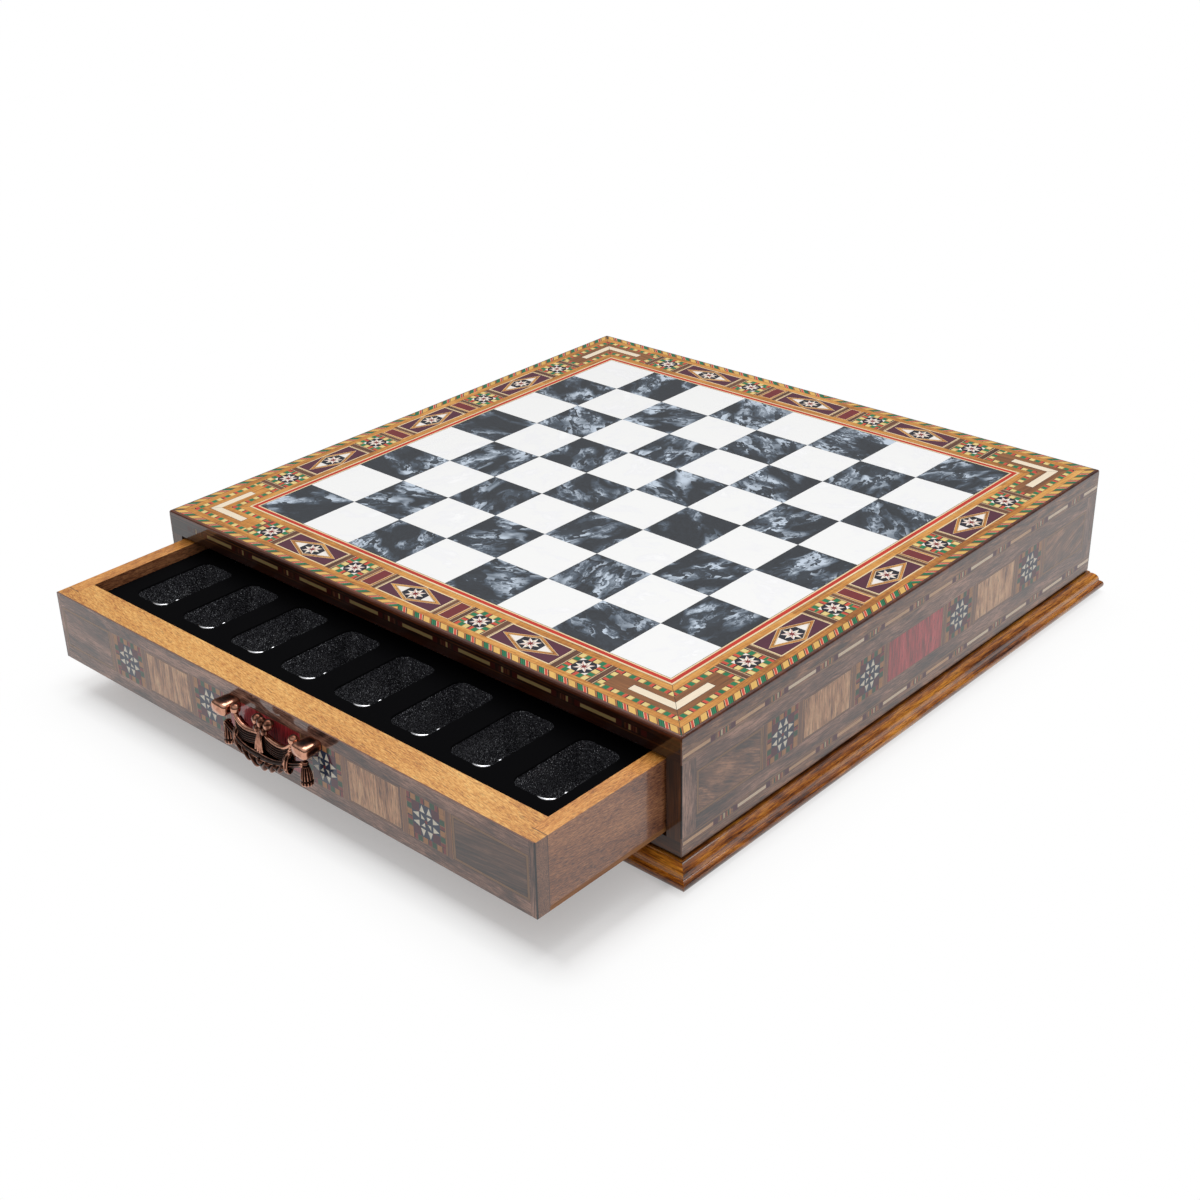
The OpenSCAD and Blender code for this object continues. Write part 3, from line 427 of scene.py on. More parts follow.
def diamond(d, cx, cy):
    """Nested rhombs on a purple ground, the inmost with a star on a dark field."""
    w, h, line, slope = DIAMOND, TILE, 0.75, 0.462
    d.block(cx, cy, w, h, "tan")
    d.frame(cx - w, cy - h, cx + w, cy + h, line, "cream")
    d.block(cx, cy, w - line, h - line, "purple")
    for wide, mat in ((37.6, "cream"), (36.6, "tan"), (35.6, "honey"), (31, "black"), (29.9, "cream"),
                      (28.6, "honey"), (27.6, "white")):
        x, y = wide / 2, wide * slope / 2
        d.add([(cx - x, cy), (cx, cy - y), (cx + x, cy), (cx, cy + y)], mat, 27)
    field, tall, n = 7.1, 9, hypot(slope, 1)
    edges = [((cx + sx * 27.2 / 2, cy), (-sx * slope / n, -sy / n)) for sx in (-1, 1) for sy in (-1, 1)]
    d.add(clip([(cx - field, cy - tall), (cx + field, cy - tall), (cx + field, cy + tall), (cx - field, cy + tall)],
               edges), "ebony")
    star8(d, cx, cy, 5.75, 2.4)


# The sliced stick of slanted blocks, and how far it leans over its height
STRIP = [("black", 0.5), ("green", 1.15), ("black", 0.22), ("green", 1.3), ("black", 0.45), ("cream", 0.35),
         ("coral", 1.75), ("cream", 0.3), ("black", 0.65), ("tan", 0.3), ("yellow", 4.1), ("tan", 0.35),
         ("black", 0.25), ("tan", 0.63)]
SLANT = 4.2


def border_side(turn, name, seed):
    """One mitred side of the border, drawn on the front and turned into place."""
    d = Inlay(seed, [((0, -FIELD), (0, -1)), ((0, -BEAD_IN), (0, 1)),
                     ((0, 0), (-0.7071, -0.7071)), ((0, 0), (0.7071, -0.7071))])
    full, hair = 190, 0.22
    for outer, inner, mat in ((BEAD_IN, FIELD, "honey"), (RED_IN, FIELD, "cream"), (FIELD + hair, FIELD, "black"),
                              (RED_OUT, RED_IN, "red_line"), (BORDER_IN, RED_OUT, "cream"),
                              (BORDER_IN + hair, BORDER_IN, "walnut")):
        d.rect(-full, -outer, full, -inner, mat)
    # long pieces of honey wood, of varying grain
    for inner, outer in ((BORDER_IN + hair, TILE_IN), (TILE_OUT, BORDER_OUT)):
        x = -full
        while x < full:
            w = d.rnd.uniform(60, 120)
            d.rect(x, -outer, x + w, -inner, "honey", d.rnd.uniform(-3, 3))
            x += w
    cy, h = -TILE_MID, TILE
    d.rect(-full, -TILE_OUT, full, -TILE_IN, "walnut_field")
    row_end = 131
    gap = (row_end - 3 * DIAMOND - 2 * BLOCK - 4 * TILE) / 5
    red = DIAMOND + gap + BLOCK
    rosette1 = red + BLOCK + gap + TILE
    diamond1 = rosette1 + TILE + gap + DIAMOND
    rosette2 = diamond1 + DIAMOND + gap + TILE
    block = BLOCK + 1

    def separator(x0, x1):
        d.rect(x0, cy - h, x1, cy + h, "cream")
        d.rect(x0 + 0.3, cy - h, x1 - 0.3, cy + h, "walnut", 90)
    # the front row was let in a little to the left
    row_shift = -3.2 if turn == 0 else 0
    d.shift = row_shift
    diamond(d, 0, cy)
    for flip in (1, -1):
        d.flip, d.shift = flip, row_shift
        diamond(d, diamond1, cy)
        rosette(d, rosette1, cy)
        rosette(d, rosette2, cy)
        d.block(red, cy, block, h, "honey", 90)
        d.block(red, cy, 3.7, 8.6, "cream")
        d.block(red, cy, 3.35, 8.25, "red_block")
        for x0, x1 in ((DIAMOND, red - block), (red + block, rosette1 - TILE),
                       (rosette1 + TILE, diamond1 - DIAMOND), (diamond1 + DIAMOND, rosette2 - TILE)):
            separator(x0 + 0.35, x1 - 0.35)
        # the corner panel, whose arm is longer on the right of the front
        d.shift = 0
        x0 = row_end + (row_shift if flip == 1 else 0)
        x1 = rosette2 + TILE + flip * row_shift
        if x0 - x1 > 3:
            separator(x1 + 0.5, x0 - 0.6)
        light_corner = (turn, flip) in ((0, -1), (270, 1))
        d.rect(x0, cy - h, full, cy + h, "honey" if light_corner else "walnut_panel")
        bead_run(d, x0 + 1.5, cy + 9.2, x0 + 1.5, cy - 9.2, 2.8, 2)
        bead_run(d, x0 + 3.2, -TILE_IN - 2, full, -TILE_IN - 2, 2.9, 4)
        bead_run(d, x0 + 3.2, -TILE_OUT + 1.7, full, -TILE_OUT + 1.7, 2.9, 7.5)
        low, high = TILE_MID - 2.25, TILE_MID + 2.25
        tip = high - (29.2 if flip == 1 else 28)
        d.add([(tip - 0.2, -high - 0.2), (high, -high - 0.2), (high, -low), (tip - 0.2, -low + 0.2)], "black")
        d.add([(tip, -high), (high, -high), (low, -low), (tip, -low)], "ivory")
        a, b, fine = TILE_IN - 4, TILE_OUT + 3.6, 0.15
        d.add([(a, -a), (b, -b), (b - fine, -b), (a - fine, -a)], "black")
        # slanted blocks, leaning away from the middle
        x = -2.05
        while x < full:
            for mat, w in STRIP:
                d.add(clip([(x, -BORDER_OUT), (x + w, -BORDER_OUT), (x + w + SLANT, -BEAD_IN),
                            (x + SLANT, -BEAD_IN)], [((0, 0), (1, 0))]), mat, -45)
                x += w
    d.flip = 1
    d.rect(-full, -BORDER_OUT - 0.18, full, -BORDER_OUT, "walnut")
    nodes = ("border_veneer", "block_strips", "pale_stringing", "red_stringing", "rosette_tiles",
             "diamond_panels", "pale_inlays", "red_blocks") if turn == 0 else ()
    place = turned_place(turn)
    d.build(name, lambda x, y, depth: place(x, y, TOP - depth), "case", nodes)


for k, side in enumerate(("front", "right", "rear", "left")):
    border_side(90 * k, side + "_border_marquetry", 11 + k)


# ---- side marquetry
# what the beads of the top are on the sides
QUIET = {"green": "side_green", "coral": "side_coral", "pale_yellow": "side_tan", "cream": "side_cream",
         "tan": "separator"}


def ohio_star(d, cx, cy):
    """A quilt star: bead frame, four dark squares, split cells and a small heart."""
    s, h, c = PANEL_H, 8.9, 3.9
    d.block(cx, cy, s, s, "separator")
    bead_frame(d, cx, cy, s, h, 0.2, 3, 6, QUIET)
    d.block(cx, cy, h, h, "navy")
    for sx in (-1, 1):
        for sy in (-1, 1):
            d.rect(cx + sx * c, cy + sy * c, cx + sx * h, cy + sy * h, "maroon", 45)
    for turn in (0, 90, 180, 270):
        co, si = cos(radians(turn)), sin(radians(turn))

        def at(*points):
            return [(cx + co * x - si * y, cy + si * x + co * y) for x, y in points]
        for e in (-1, 1):
            d.add(at((c + 0.6, 0.6 * e), (c + 0.6, e * c), (h - 0.5, e * 2.3))[::e], "star_cream", turn)
        d.add(at((0.75, 3.1), (0.95, 0.75), (3.3, 3.1)), "star_cream", turn + 45)
    d.add([(cx - 1.1, cy), (cx, cy - 1.1), (cx + 1.1, cy), (cx, cy + 1.1)], "dark_red", 45)


SMALL_BEADS = [("side_tan", 1), ("separator", 0.4), ("side_green", 1.1), ("side_tan", 0.7), ("side_coral", 1),
               ("separator", 0.5), ("side_cream", 1.1), ("side_green", 0.6), ("side_coral", 1), ("side_tan", 1)]
# darker copies of the strip's beads for the rails over the drawers: painted shade
SHADED_ON_RAIL = {"side_green": "rail_block", "side_coral": "rail_block", "side_cream": "rail_bar", "side_tan": "front_wood"}
BAR_STEP = 40.4


def bar_strip(d, z, limit, shift, dark=False):
    """Pale bars between dark squares, with small beads between those; over the drawers in darker copies, which are
    painted shade, and without cut-off bars.
    """
    ground, line, block, bars = (("rail_wood", "front_wood", "rail_block", ("rail_bar",)) if dark else
                                 ("veneer_end", "panel_line", "maroon", ("bar_cream", "bar_cream", "bar_tan")))
    small = [(SHADED_ON_RAIL.get(mat, mat) if dark else mat, w) for mat, w in SMALL_BEADS]
    for edge in (-2.6, 2.6):
        d.rect(-limit, z + edge - 0.3, limit, z + edge + 0.3, line, 0, False)
    d.rect(-limit, z - 1.85, limit, z + 1.85, ground)
    n = int(limit // BAR_STEP) + 1
    for k in range(-n, n + 1):
        cx = k * BAR_STEP + shift
        x = cx - sum(w for _, w in small) / 2
        for mat, w in small if k % 2 else small[::-1]:
            if abs(x + w / 2) < limit - 1:
                d.rect(x, z - 1.5, min(x + w, limit), z + 1.5, mat, 90)
            x += w
        for a, b in ((cx - 5.7, cx - 9.2), (cx + 5.7, cx + 9.2)):
            if max(abs(a), abs(b)) < limit:
                d.rect(a, z - 1.6, b, z + 1.6, block, 90)
        a, b = cx + 9.2, cx + 31.2
        if a < limit and b > -limit and (max(-a, b) < limit or not dark):
            a, b = max(a, -limit + 0.4), min(b, limit - 0.4)
            if b - a > 3:
                d.rect(a, z - 1.2, b, z + 1.2, "separator")
                d.rect(a, z - 0.9, b, z + 0.9, d.rnd.choice(bars))


def outlined(d, x0, y0, x1, y1, mat):
    """An upright panel with a double outline just inside its edge."""
    d.rect(x0, y0, x1, y1, "black", 90)
    d.frame(x0 + 0.15, y0 + 0.15, x1 - 0.15, y1 - 0.15, 0.75, "separator")
    d.nest(x0, y0, x1, y1, (0.9, "black", 90), (1.1, mat, 90))


def panel_row(d, zc, red, light, shift, ends, limit, tips):
    """Stars and panels either side of the red one; ends are the inner and outer edges of the end panels,
    and tips their wood and how far its grain is turned."""
    low, high = zc - PANEL_H, zc + PANEL_H

    def sheets(x, x1, mat, trim):
        """Narrow sheets of veneer side by side."""
        while x < x1:
            w = d.rnd.uniform(9, 20)
            d.rect(x, low + trim, min(x + w, x1), high - trim, mat, 90)
            x += w

    def divider(x0, x1):
        for inset, mat in ((0.2, "side_tan"), (0.55, "separator")):
            d.rect(x0 + inset, low, x1 - inset, high, mat, 90)
    d.shift = shift
    outlined(d, -red / 2, low, red / 2, high, "red_panel")
    sheets(-red / 2 + 0.5, red / 2 - 0.5, "red_panel", 0.5)
    for flip, (end0, end1), (tip, turned) in zip((1, -1), ends, tips):
        d.flip, d.shift = flip, shift
        star1 = red / 2 + GAP + STAR / 2
        ohio_star(d, star1, zc)
        panel = star1 + STAR / 2 + GAP
        outlined(d, panel, low, panel + light, high, "light_panel")
        sheets(panel + 1.5, panel + light - 1.5, "light_panel", 1.3)
        star2 = panel + light + GAP + STAR / 2
        ohio_star(d, star2, zc)
        for x in (red / 2, star1 + STAR / 2, panel + light):
            divider(x, x + GAP)
        d.shift = 0
        divider(star2 + STAR / 2 + flip * shift, end0)
        d.nest(end0, low, end1, high, (0, "black", 0), (0.2, "panel_line", 0), (1.5, "black", 0),
               (1.7, tip, turned))
        d.rect(end1 + 0.3, zc - 19.8, limit, zc + 19.8, "veneer", 90)
        d.rect(limit - 0.45, zc - 19.8, limit, zc + 19.8, "black", 90)
    d.flip = 1


def wall_place(turn, shift=0):
    place = turned_place(turn, shift)
    return lambda x, z, depth: place(x, depth - HALF, z)


for seed, side, turn in ((31, "right", 90), (32, "left", -90)):
    d = Inlay(seed)
    for low, high, mat in ((VENEER_Z, BEAD_Z, "veneer"), (VENEER_Z, TOP - 61, "veneer_end"),
                           (TOP - 8.4, BEAD_Z, "veneer_end")):
        d.rect(-HALF, low, HALF, high, mat)
    for drop, shift in ((10.6, 2), (57.6, 4.7)):
        bar_strip(d, TOP - drop, HALF - 0.3, shift)
    panel_row(d, TOP - 34.5, 51, 40.3, 1.3, ((132, 178.6), (129.5, 178.6)), HALF, (("veneer_end", 24),) * 2)
    nodes = (side + "_veneer",)
    if side == "right":
        nodes += ("side_star_tiles", "side_light_panels", "side_red_panels", "side_pale_bars")
    d.build(side + "_side_marquetry", wall_place(turn), "case", nodes)

for k, (side, turn, shift) in enumerate(DRAWERS):
    d = Inlay(41 + k)
    w = HALF - VENEER_T
    # the case front and the rail over the opening take the darker woods: painted shade
    d.rect(-w, VENEER_Z, w, BEAD_Z, "front_wood")
    for d.flip in (-1, 1):
        d.rect(INSIDE, OPEN_LOW, w, OPEN_HIGH, "front_wood", 90)
    d.rect(-w, OPEN_HIGH, w, BEAD_Z, "rail_wood")
    bar_strip(d, TOP - 6.6, w - 0.3, -2.3, True)
    d.rect(-INSIDE, OPEN_LOW, INSIDE, OPEN_HIGH, None)
    d.build(side + "_case_marquetry", wall_place(turn), "case", (side + "_veneer",))
    d = Inlay(51 + k)
    d.rect(-DRAWER_HALF, DRAWER_FOOT, DRAWER_HALF, DRAWER_TOP, "veneer")
    panel_row(d, (DRAWER_FOOT + DRAWER_TOP) / 2, 55, 37, -2.2, ((128, 175), (131.4, 175.4)), DRAWER_HALF,
              (("end_dark", 3), ("veneer", 0)))
    drawer = side + "_drawer"
    d.build(drawer + "_marquetry", wall_place(turn, shift), drawer,
            (drawer + "_veneer", drawer + "_star_tiles", drawer + "_panels"))


# ---- materials of the CAD pieces
def give(names, mat):
    """Gives CAD nodes a material; ? stands for front and rear."""
    for side in ("front", "rear"):
        for name in names.replace("?", side).split():
            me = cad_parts[name].data
            me.materials.clear()
            me.materials.append(mat)


HALVES = (0.5, 0.5, 0.5)


def pearl(name, ground, facet, glow, cover, lit=0):
    """Pearl plate under lacquer: crumpled, torn clouds in a plain ground; each square is a different piece. The
    flakes carry painted highlight and shade, and lit sets a faint painted glow.
    """
    m, t, b = shader(name)
    mm = scaled(here(t), 1000, 1000, 1000)
    square = mm.vector("SNAP", (SQUARE, SQUARE, 1000))
    rand = node(t, "TexWhiteNoise", {"noise_dimensions": "3D"}, Vector=square)
    v = mm.vector("ADD", rand["Color"].vector("MULTIPLY", (700, 700, 300)))
    v = node(t, "VectorRotate", {"rotation_type": "Z_AXIS"}, Vector=v, Center=(0, 0, 0), Angle=rand["Value"] * 3.1)
    flat = scaled(v, 1, 0.55, 0)
    push = noise(flat, 0.1, 3, 0.6)["Color"].vector("SUBTRACT", HALVES)
    bent = flat.vector("ADD", push.vector("MULTIPLY", (26, 26, 0)))
    # facets: each cell is a tilted flake, with a painted highlight at one of its edges and painted shade at the other
    tilts = []
    for scale, weight in ((0.1, 1), (0.27, 0.5)):
        cell = node(t, "TexVoronoi", {"feature": "F1"}, Vector=bent, Scale=scale, Randomness=1)
        way = cell["Color"].vector("SUBTRACT", HALVES)
        tilt = bent.vector("SUBTRACT", cell["Position"]).vector("DOT_PRODUCT", way)["Value"]
        tilts.append(tilt * (weight * scale * 2.6))
    streak = noise(bent, 0.5, 4, 0.65)
    flake = tilts[0] + tilts[1] + (streak - 0.5) * 0.9
    cloud = ramp(noise(flat, 0.055, 2, 0.5, 0.8), (cover, 0), (cover + 0.28, 1))
    # painted highlight and shade across each flake
    bright = ramp(flake + 0.5, (0.25, 0.05), (0.5, 0.28), (0.68, 0.5), (0.82, 0.72), (0.92, 1))
    val = cloud * bright + streak * 0.12
    put(b, Base_Color=ramp(val, (0.03, ground), (0.25, facet), (0.8, glow)), Roughness=0.3, Specular_IOR_Level=0.3,
        Coat_Weight=1, Coat_Roughness=0.02, Emission_Strength=lit, Normal=bump(val, 0.04))
    return m


# the light squares glow faintly: painted light
give("light_squares", pearl("light_pearl", (250, 250, 249), (246, 246, 248), (255, 255, 255), 0.5, 0.03))
give("dark_squares", pearl("dark_pearl", (19, 23, 30), (76, 89, 104), (202, 215, 230), 0.415))
give("edge_beads", wood("bead_mahogany", (44, 18, 10), (84, 38, 20), (126, 64, 32), 0.08, 0.9, 10, turn=ALONG_X,
                        coat=1, coat_rough=0.04, rough=0.35))


def painted_shade_recess_and_foot(t, col):
    """Painted shade: a moulding is darkened in its recess by the case and along its lower edge."""
    spot = parts(t)
    recess = ramp(abs(spot["X"]).most(abs(spot["Y"])), ((HALF + 0.9) * MM, 1), ((HALF + 1.9) * MM, 0))
    foot = ramp(spot["Z"], (0.5 * MM, 0.5), (1.2 * MM, 0))
    # the dark brown mixed in here is painted shade, not the wood's own colour
    return mix(recess.most(foot), col, (34, 14, 4))


# the mouldings carry painted shade in the recess by the case and along the foot
for axis, turn, names in (("x", ALONG_X, "?_moulding"), ("y", ALONG_Y, "left_moulding right_moulding")):
    give(names, wood("moulding_along_" + axis, (72, 28, 4), (178, 98, 22), (248, 164, 56), 0.08, 2.2, 5, 0.8, 1.6,
                     turn, coat=1, rough=0.35, shade_paint=painted_shade_recess_and_foot))


def case_wood(name, turn, painted_light_level):
    """Plain wood of the parts inside, with painted shade: darker the less light reaches them."""
    shades = [linear(c, painted_light_level) for c in ((110, 66, 36), (160, 104, 62), (196, 140, 90))]
    return wood(name, *shades, 0.06, 1, 9, 0.3, turn=turn, rough=0.5, coat=0.25, coat_rough=0.2)


SEAMS = (HALF + DRAWER_OUT - LIP_T, HALF - LIP_T)
RIM = ((156, 84, 22), (216, 150, 68), (246, 192, 110))
SIDE_RIM = ((146, 80, 26), (206, 134, 56), (236, 172, 92))
STAINED = ((84, 42, 22), (166, 104, 68), (216, 152, 104))
VENEERED = ((74, 40, 26), (138, 92, 68), (190, 136, 104))
HIDDEN = ((50, 30, 20), (84, 54, 38), (110, 72, 50))


def drawer_wood(name, turn, rim, wall, end):
    """Honey-coloured rims on top of stained walls, with veneer on the ends of the lip."""
    m, t, b = shader(name)
    v = scaled(grain(t, turn), 1 / 6)
    val = noise(v, 0.07, 3, 0.55, 0.8) * 0.3 + noise(v, 1.5, 4, 0.75) * 0.7
    rims, walls, ends = [ramp(val, (0.38, c[0]), (0.5, c[1]), (0.62, c[2])) for c in (rim, wall, end)]
    facing = parts(t, "Normal")
    col = mix(facing["Z"] > 0.6, mix(abs(facing["X"]) > 0.6, walls, ends), rims)
    col = mix(ramp(noise(v, 1.6, 3, 0.7), (0.54, 0), (0.68, 1)) * 0.45, col, linear(wall[0], 0.3))
    # the seam between the face and the sides, on both drawers
    spot = parts(t)
    front, rear = [abs(abs(spot["Y"]) - at * MM) < 0.0003 for at in SEAMS]
    beside = abs(spot["X"]) > (DRAWER_HALF - 9) * MM
    col = mix(front.most(rear) * beside * 0.7, col, (30, 16, 10))
    put(b, Base_Color=col, Roughness=0.42, Coat_Weight=0.7, Coat_Roughness=0.12, Normal=bump(val, 0.12))
    return m


give("?_drawer_face", drawer_wood("face_wood", (0, 0, 0.16), RIM, HIDDEN, VENEERED))
give("?_drawer_back", drawer_wood("back_wood", ALONG_X, RIM, STAINED, STAINED))
give("?_drawer_left_side ?_drawer_right_side",
     drawer_wood("side_wood", (0.1, 0, -pi / 2), SIDE_RIM, STAINED, STAINED))
give("?_drawer_bottom", case_wood("ply_bottom", ALONG_Y, 1.1))
# walls, partition, runners, rails and boards inside at 0.4 of the colour: painted shade
give("left_wall right_wall centre_partition drawer_runners", case_wood("inner_wood_y", ALONG_Y, 0.4))
give("?_top_rail ?_bottom_rail top_board base_board", case_wood("inner_wood_x", ALONG_X, 0.4))


def speckled(name, fine, dark, light, bumps=0, rough=1, **looks):
    """Fine speckles between two colours; fine is scale, detail and roughness of the noise."""
    m, t, b = shader(name)
    n = noise(here(t), *fine)
    put(b, Base_Color=ramp(n, dark, light), Roughness=ramp(n, *rough) if isinstance(rough, tuple) else rough, **looks)
    if bumps:
        put(b, Normal=bump(n, bumps))
    return m


give("base_felt", speckled("green_felt", (2500, 6, 0.8), (0.3, (14, 34, 22)), (0.7, (34, 66, 44)), 0.4, 0.95,
                           Sheen_Weight=0.3))
give("?_drawer_screws",
     speckled("screw_steel", (1800, 4), (0.3, (120, 120, 122)), (0.7, (180, 180, 182)), rough=0.35, Metallic=1))


# ---- trays
def pocket_skin():
    """Glossy black with a fine sparkling pebble."""
    m, t, b = shader("black_pocket")
    n = noise(here(t), 1100, 5, 0.8)
    torn = noise(here(t), 1500)["Color"].vector("MULTIPLY_ADD", (0.0011, 0.0011, 0.0011), here(t))
    cells = node(t, "TexVoronoi", Vector=torn, Scale=1500, Randomness=1)
    chance = node(t, "SeparateColor", Color=cells["Color"])
    fleck = ramp(chance, (0.3, 0), (0.7, 0.22), (0.9, 0.55), (0.97, 1)) * ramp(cells, (0.18, 1), (0.5, 0))
    ground = ramp(n, (0.3, (8, 8, 10)), (0.5, (38, 38, 42)), (0.7, (112, 112, 120)))
    put(b, Base_Color=mix(fleck, ground, (235, 238, 244)), Roughness=0.22, Coat_Weight=0.8, Coat_Roughness=0.05,
        Normal=bump(n, 0.35, 0.0003))
    return m


# matt flock on the deck, glossy pockets, and the lip beads in bright metal, a painted glint where the lip is bright
# with reflected light
FLOCK = speckled("black_flock", (3500, 4, 0.8), (0.35, (3, 3, 4)), (0.75, (11, 11, 13)), 0.3, 1,
                 Specular_IOR_Level=0.05)
POCKET = pocket_skin()
LIP = speckled("painted_glint_lip", (700, 3), (0.3, (170, 172, 178)), (0.6, (246, 247, 250)), 0.15,
               ((0.3, 0.3), (0.7, 0.2)), Metallic=1)


def round_rect(cx, cy, a, b, r, per=9):
    pts = []
    for sx, sy, start in ((1, 1, 0), (-1, 1, 90), (-1, -1, 180), (1, -1, 270)):
        for i in range(per):
            pts.append(polar(cx + sx * (a - r), cy + sy * (b - r), r, radians(start + 90 * i / (per - 1))))
    return pts


def join(bm, lo, hi):
    """A band of faces between two closed rings of vertices."""
    n = len(lo)
    return [bm.faces.new([lo[j], lo[(j + 1) % n], hi[(j + 1) % n], hi[j]]) for j in range(n)]


def paint(faces, index):
    for f in faces:
        f.material_index, f.smooth = index, True


def lip_bead(bm, place, line, r):
    """A small swelling of the glossy lip along a line, thin at both ends; its bright metal is a painted glint."""
    n, rings = len(line), []
    for i, (x, y) in enumerate(line):
        x0, y0 = line[max(i - 1, 0)]
        x1, y1 = line[min(i + 1, n - 1)]
        run = hypot(x1 - x0, y1 - y0)
        nx, ny = (y1 - y0) / run, -(x1 - x0) / run
        k = r * sin(pi * (i + 0.3) / (n - 0.4)) ** 0.7
        rings.append([bm.verts.new(place(x + nx * k * cos(q), y + ny * k * cos(q),
                                         DECK_Z + 0.7 * k * sin(q)))
                      for q in [tau * j / 12 for j in range(12)]])
    for lo, hi in zip(rings, rings[1:]):
        paint(join(bm, lo, hi), 2)
    for ring in (rings[0], rings[-1]):
        bm.faces.new(ring).material_index = 2


def tray(side, turn, shift):
    """A flocked deck with two rows of eight moulded pockets, and plain walls under its edge."""
    place = turned_place(turn, shift)
    bm = bmesh.new()
    mouth, floor_r = 0.6, 6.9
    first = -TRAY_HALF + 13 + POCKET_HALF
    rows = ((TRAY_FRONT + 15 + 25, 25), (TRAY_FRONT + 15 + 50 + 10 + 36, 36))
    pockets = [(first - i * 2 * first / 7, cy, POCKET_HALF, b) for i in range(8) for cy, b in rows]
    outline = [(-TRAY_HALF, TRAY_FRONT), (TRAY_HALF, TRAY_FRONT), (TRAY_HALF, TRAY_REAR), (-TRAY_HALF, TRAY_REAR)]
    verts, faces = [Vector(p) for p in outline], [[0, 1, 2, 3]]
    for cx, cy, a, b in pockets:
        ring = round_rect(cx, cy, a + mouth, b + mouth, POCKET_R + mouth)
        faces.append(list(range(len(verts), len(verts) + len(ring))))
        verts += [Vector(p) for p in ring]
    out = geometry.delaunay_2d_cdt(verts, [], faces, 1, 1e-5)
    deck = [bm.verts.new(place(v.x, v.y, DECK_Z)) for v in out[0]]
    for f, origin in zip(out[2], out[5]):
        if origin and max(origin) == 0:
            bm.faces.new([deck[i] for i in f])
    # how far a pocket's wall stands out, from the rounded mouth down to the rounded floor
    turns = [radians(90 * i / 8) for i in range(9)]
    profile = [(mouth * (1 - sin(t)), -0.9 * (1 - cos(t))) for t in turns]
    profile += [(-0.15, -8), (-0.35, -18.5)]
    profile += [(-0.35 - floor_r * (1 - cos(t)), -19 - floor_r * sin(t)) for t in turns[1:]]
    for cx, cy, a, b in pockets:
        loops = [[bm.verts.new(place(x, y, DECK_Z + z))
                  for x, y in round_rect(cx, cy, a + grow, b + grow, max(POCKET_R + grow * 0.55, 2.2))]
                 for grow, z in profile]
        for step_no, (lo, hi) in enumerate(zip(loops, loops[1:]), 1):
            paint(join(bm, lo, hi), int(step_no > 8))
        paint([bm.faces.new(loops[-1])], 1)
        # in the front row the moulded lip swells where the mouth turns the corner, and a little beside it; the
        # swellings carry the painted glint
        if b < 30:
            lip_bead(bm, place, [polar(cx + a - POCKET_R, cy - b + POCKET_R, 6.3, radians(-112 + 11 * i))
                                 for i in range(10)], 0.85)
            lip_bead(bm, place, [(cx + a + 0.1, cy - b + 9 + 0.5 * i) for i in range(6)], 0.4)
    top, low = [[bm.verts.new(place(x, y, z)) for x, y in outline] for z in (DECK_Z, FLOOR_TOP)]
    join(bm, top, low)
    bm.faces.new(low)
    bmesh.ops.remove_doubles(bm, verts=bm.verts, dist=1e-6)
    make_piece(bm, side + "_pocket_tray", (FLOCK, POCKET, LIP), side + "_drawer", (side + "_drawer_tray",))


for drawer in DRAWERS:
    tray(*drawer)


# ---- handles
def copper():
    """Antique copper: bright where rubbed, nearly black in the hollows."""
    m, t, b = shader("antique_copper")
    wear = node(t, "Attribute", {"attribute_name": "wear"})["Fac"]
    n = noise(here(t), 420, 5, 0.65)
    w = wear.calc("ADD", (n - 0.5) * 0.45, clamp=True)
    put(b, Base_Color=ramp(w, (0.3, (10, 7, 6)), (0.56, (40, 24, 19)), (0.78, (112, 72, 57)), (1, (206, 152, 127))),
        Metallic=1, Roughness=ramp(w, (0.1, 0.45), (0.8, 0.16)), Normal=bump(n, 0.1))
    return m


COPPER = copper()
# places along the handle, in mm from the middle of its pins' axis
PIVOT = Vector((5.8, -195, 54.7))
BALL_X, BIND_X, POST_X, POST_IN = 22, 19, 30.5, 25
BALL_R, BALL_RISE, PIN_R = 2.7, 1.2, 1.15
LOW_X, RIM_DROP, KNOT_DROP = 12.5, 5.5, 3
LEAN = Matrix.Rotation(radians(-10), 3, "X")


def grid_solid(bm, front, back, nu, nv):
    """A closed body from a front sheet and a back sheet of u and v, in 0..1."""
    sheets = [[[bm.verts.new(sheet(i / nu, j / nv)) for j in range(nv + 1)] for i in range(nu + 1)]
              for sheet in (front, back)]
    for g in sheets:
        for i in range(nu):
            for j in range(nv):
                bm.faces.new([g[i][j], g[i + 1][j], g[i + 1][j + 1], g[i][j + 1]])
    edge = ([(i, 0) for i in range(nu)] + [(nu, j) for j in range(nv)] + [(i, nv) for i in range(nu, 0, -1)]
            + [(0, j) for j in range(nv, 0, -1)])
    join(bm, *[[g[i][j] for i, j in edge] for g in sheets])


def tube(bm, f, nu, nv, hoop=False):
    """A tube or ball from f(u, a), a the angle round it and u along it; a fan closes each end of all but a hoop."""
    rings = [[bm.verts.new(f(i / nu, tau * (j / nv))) for j in range(nv)] for i in range(nu if hoop else nu + 1)]
    for i in range(nu):
        join(bm, rings[i], rings[(i + 1) % len(rings)])
    for ring in () if hoop else (rings[0], rings[-1]):
        c = bm.verts.new(sum((v.co for v in ring), Vector()) / nv)
        for j in range(nv):
            bm.faces.new([ring[j], ring[(j + 1) % nv], c])


def ball(bm, c, rx, ry, rz, flute=0):
    def f(u, a):
        t = pi * (0.02 + 0.96 * u)
        k = 1 + flute * cos(5 * a) * sin(t)
        return Vector(c) + Vector((rx * k * sin(t) * cos(a), ry * k * sin(t) * sin(a), rz * cos(t)))
    tube(bm, f, 18, 40 if flute else 24)


def lean(x, y, z):
    """The front of the swag leans out towards its foot."""
    return LEAN @ Vector((x, y, z))


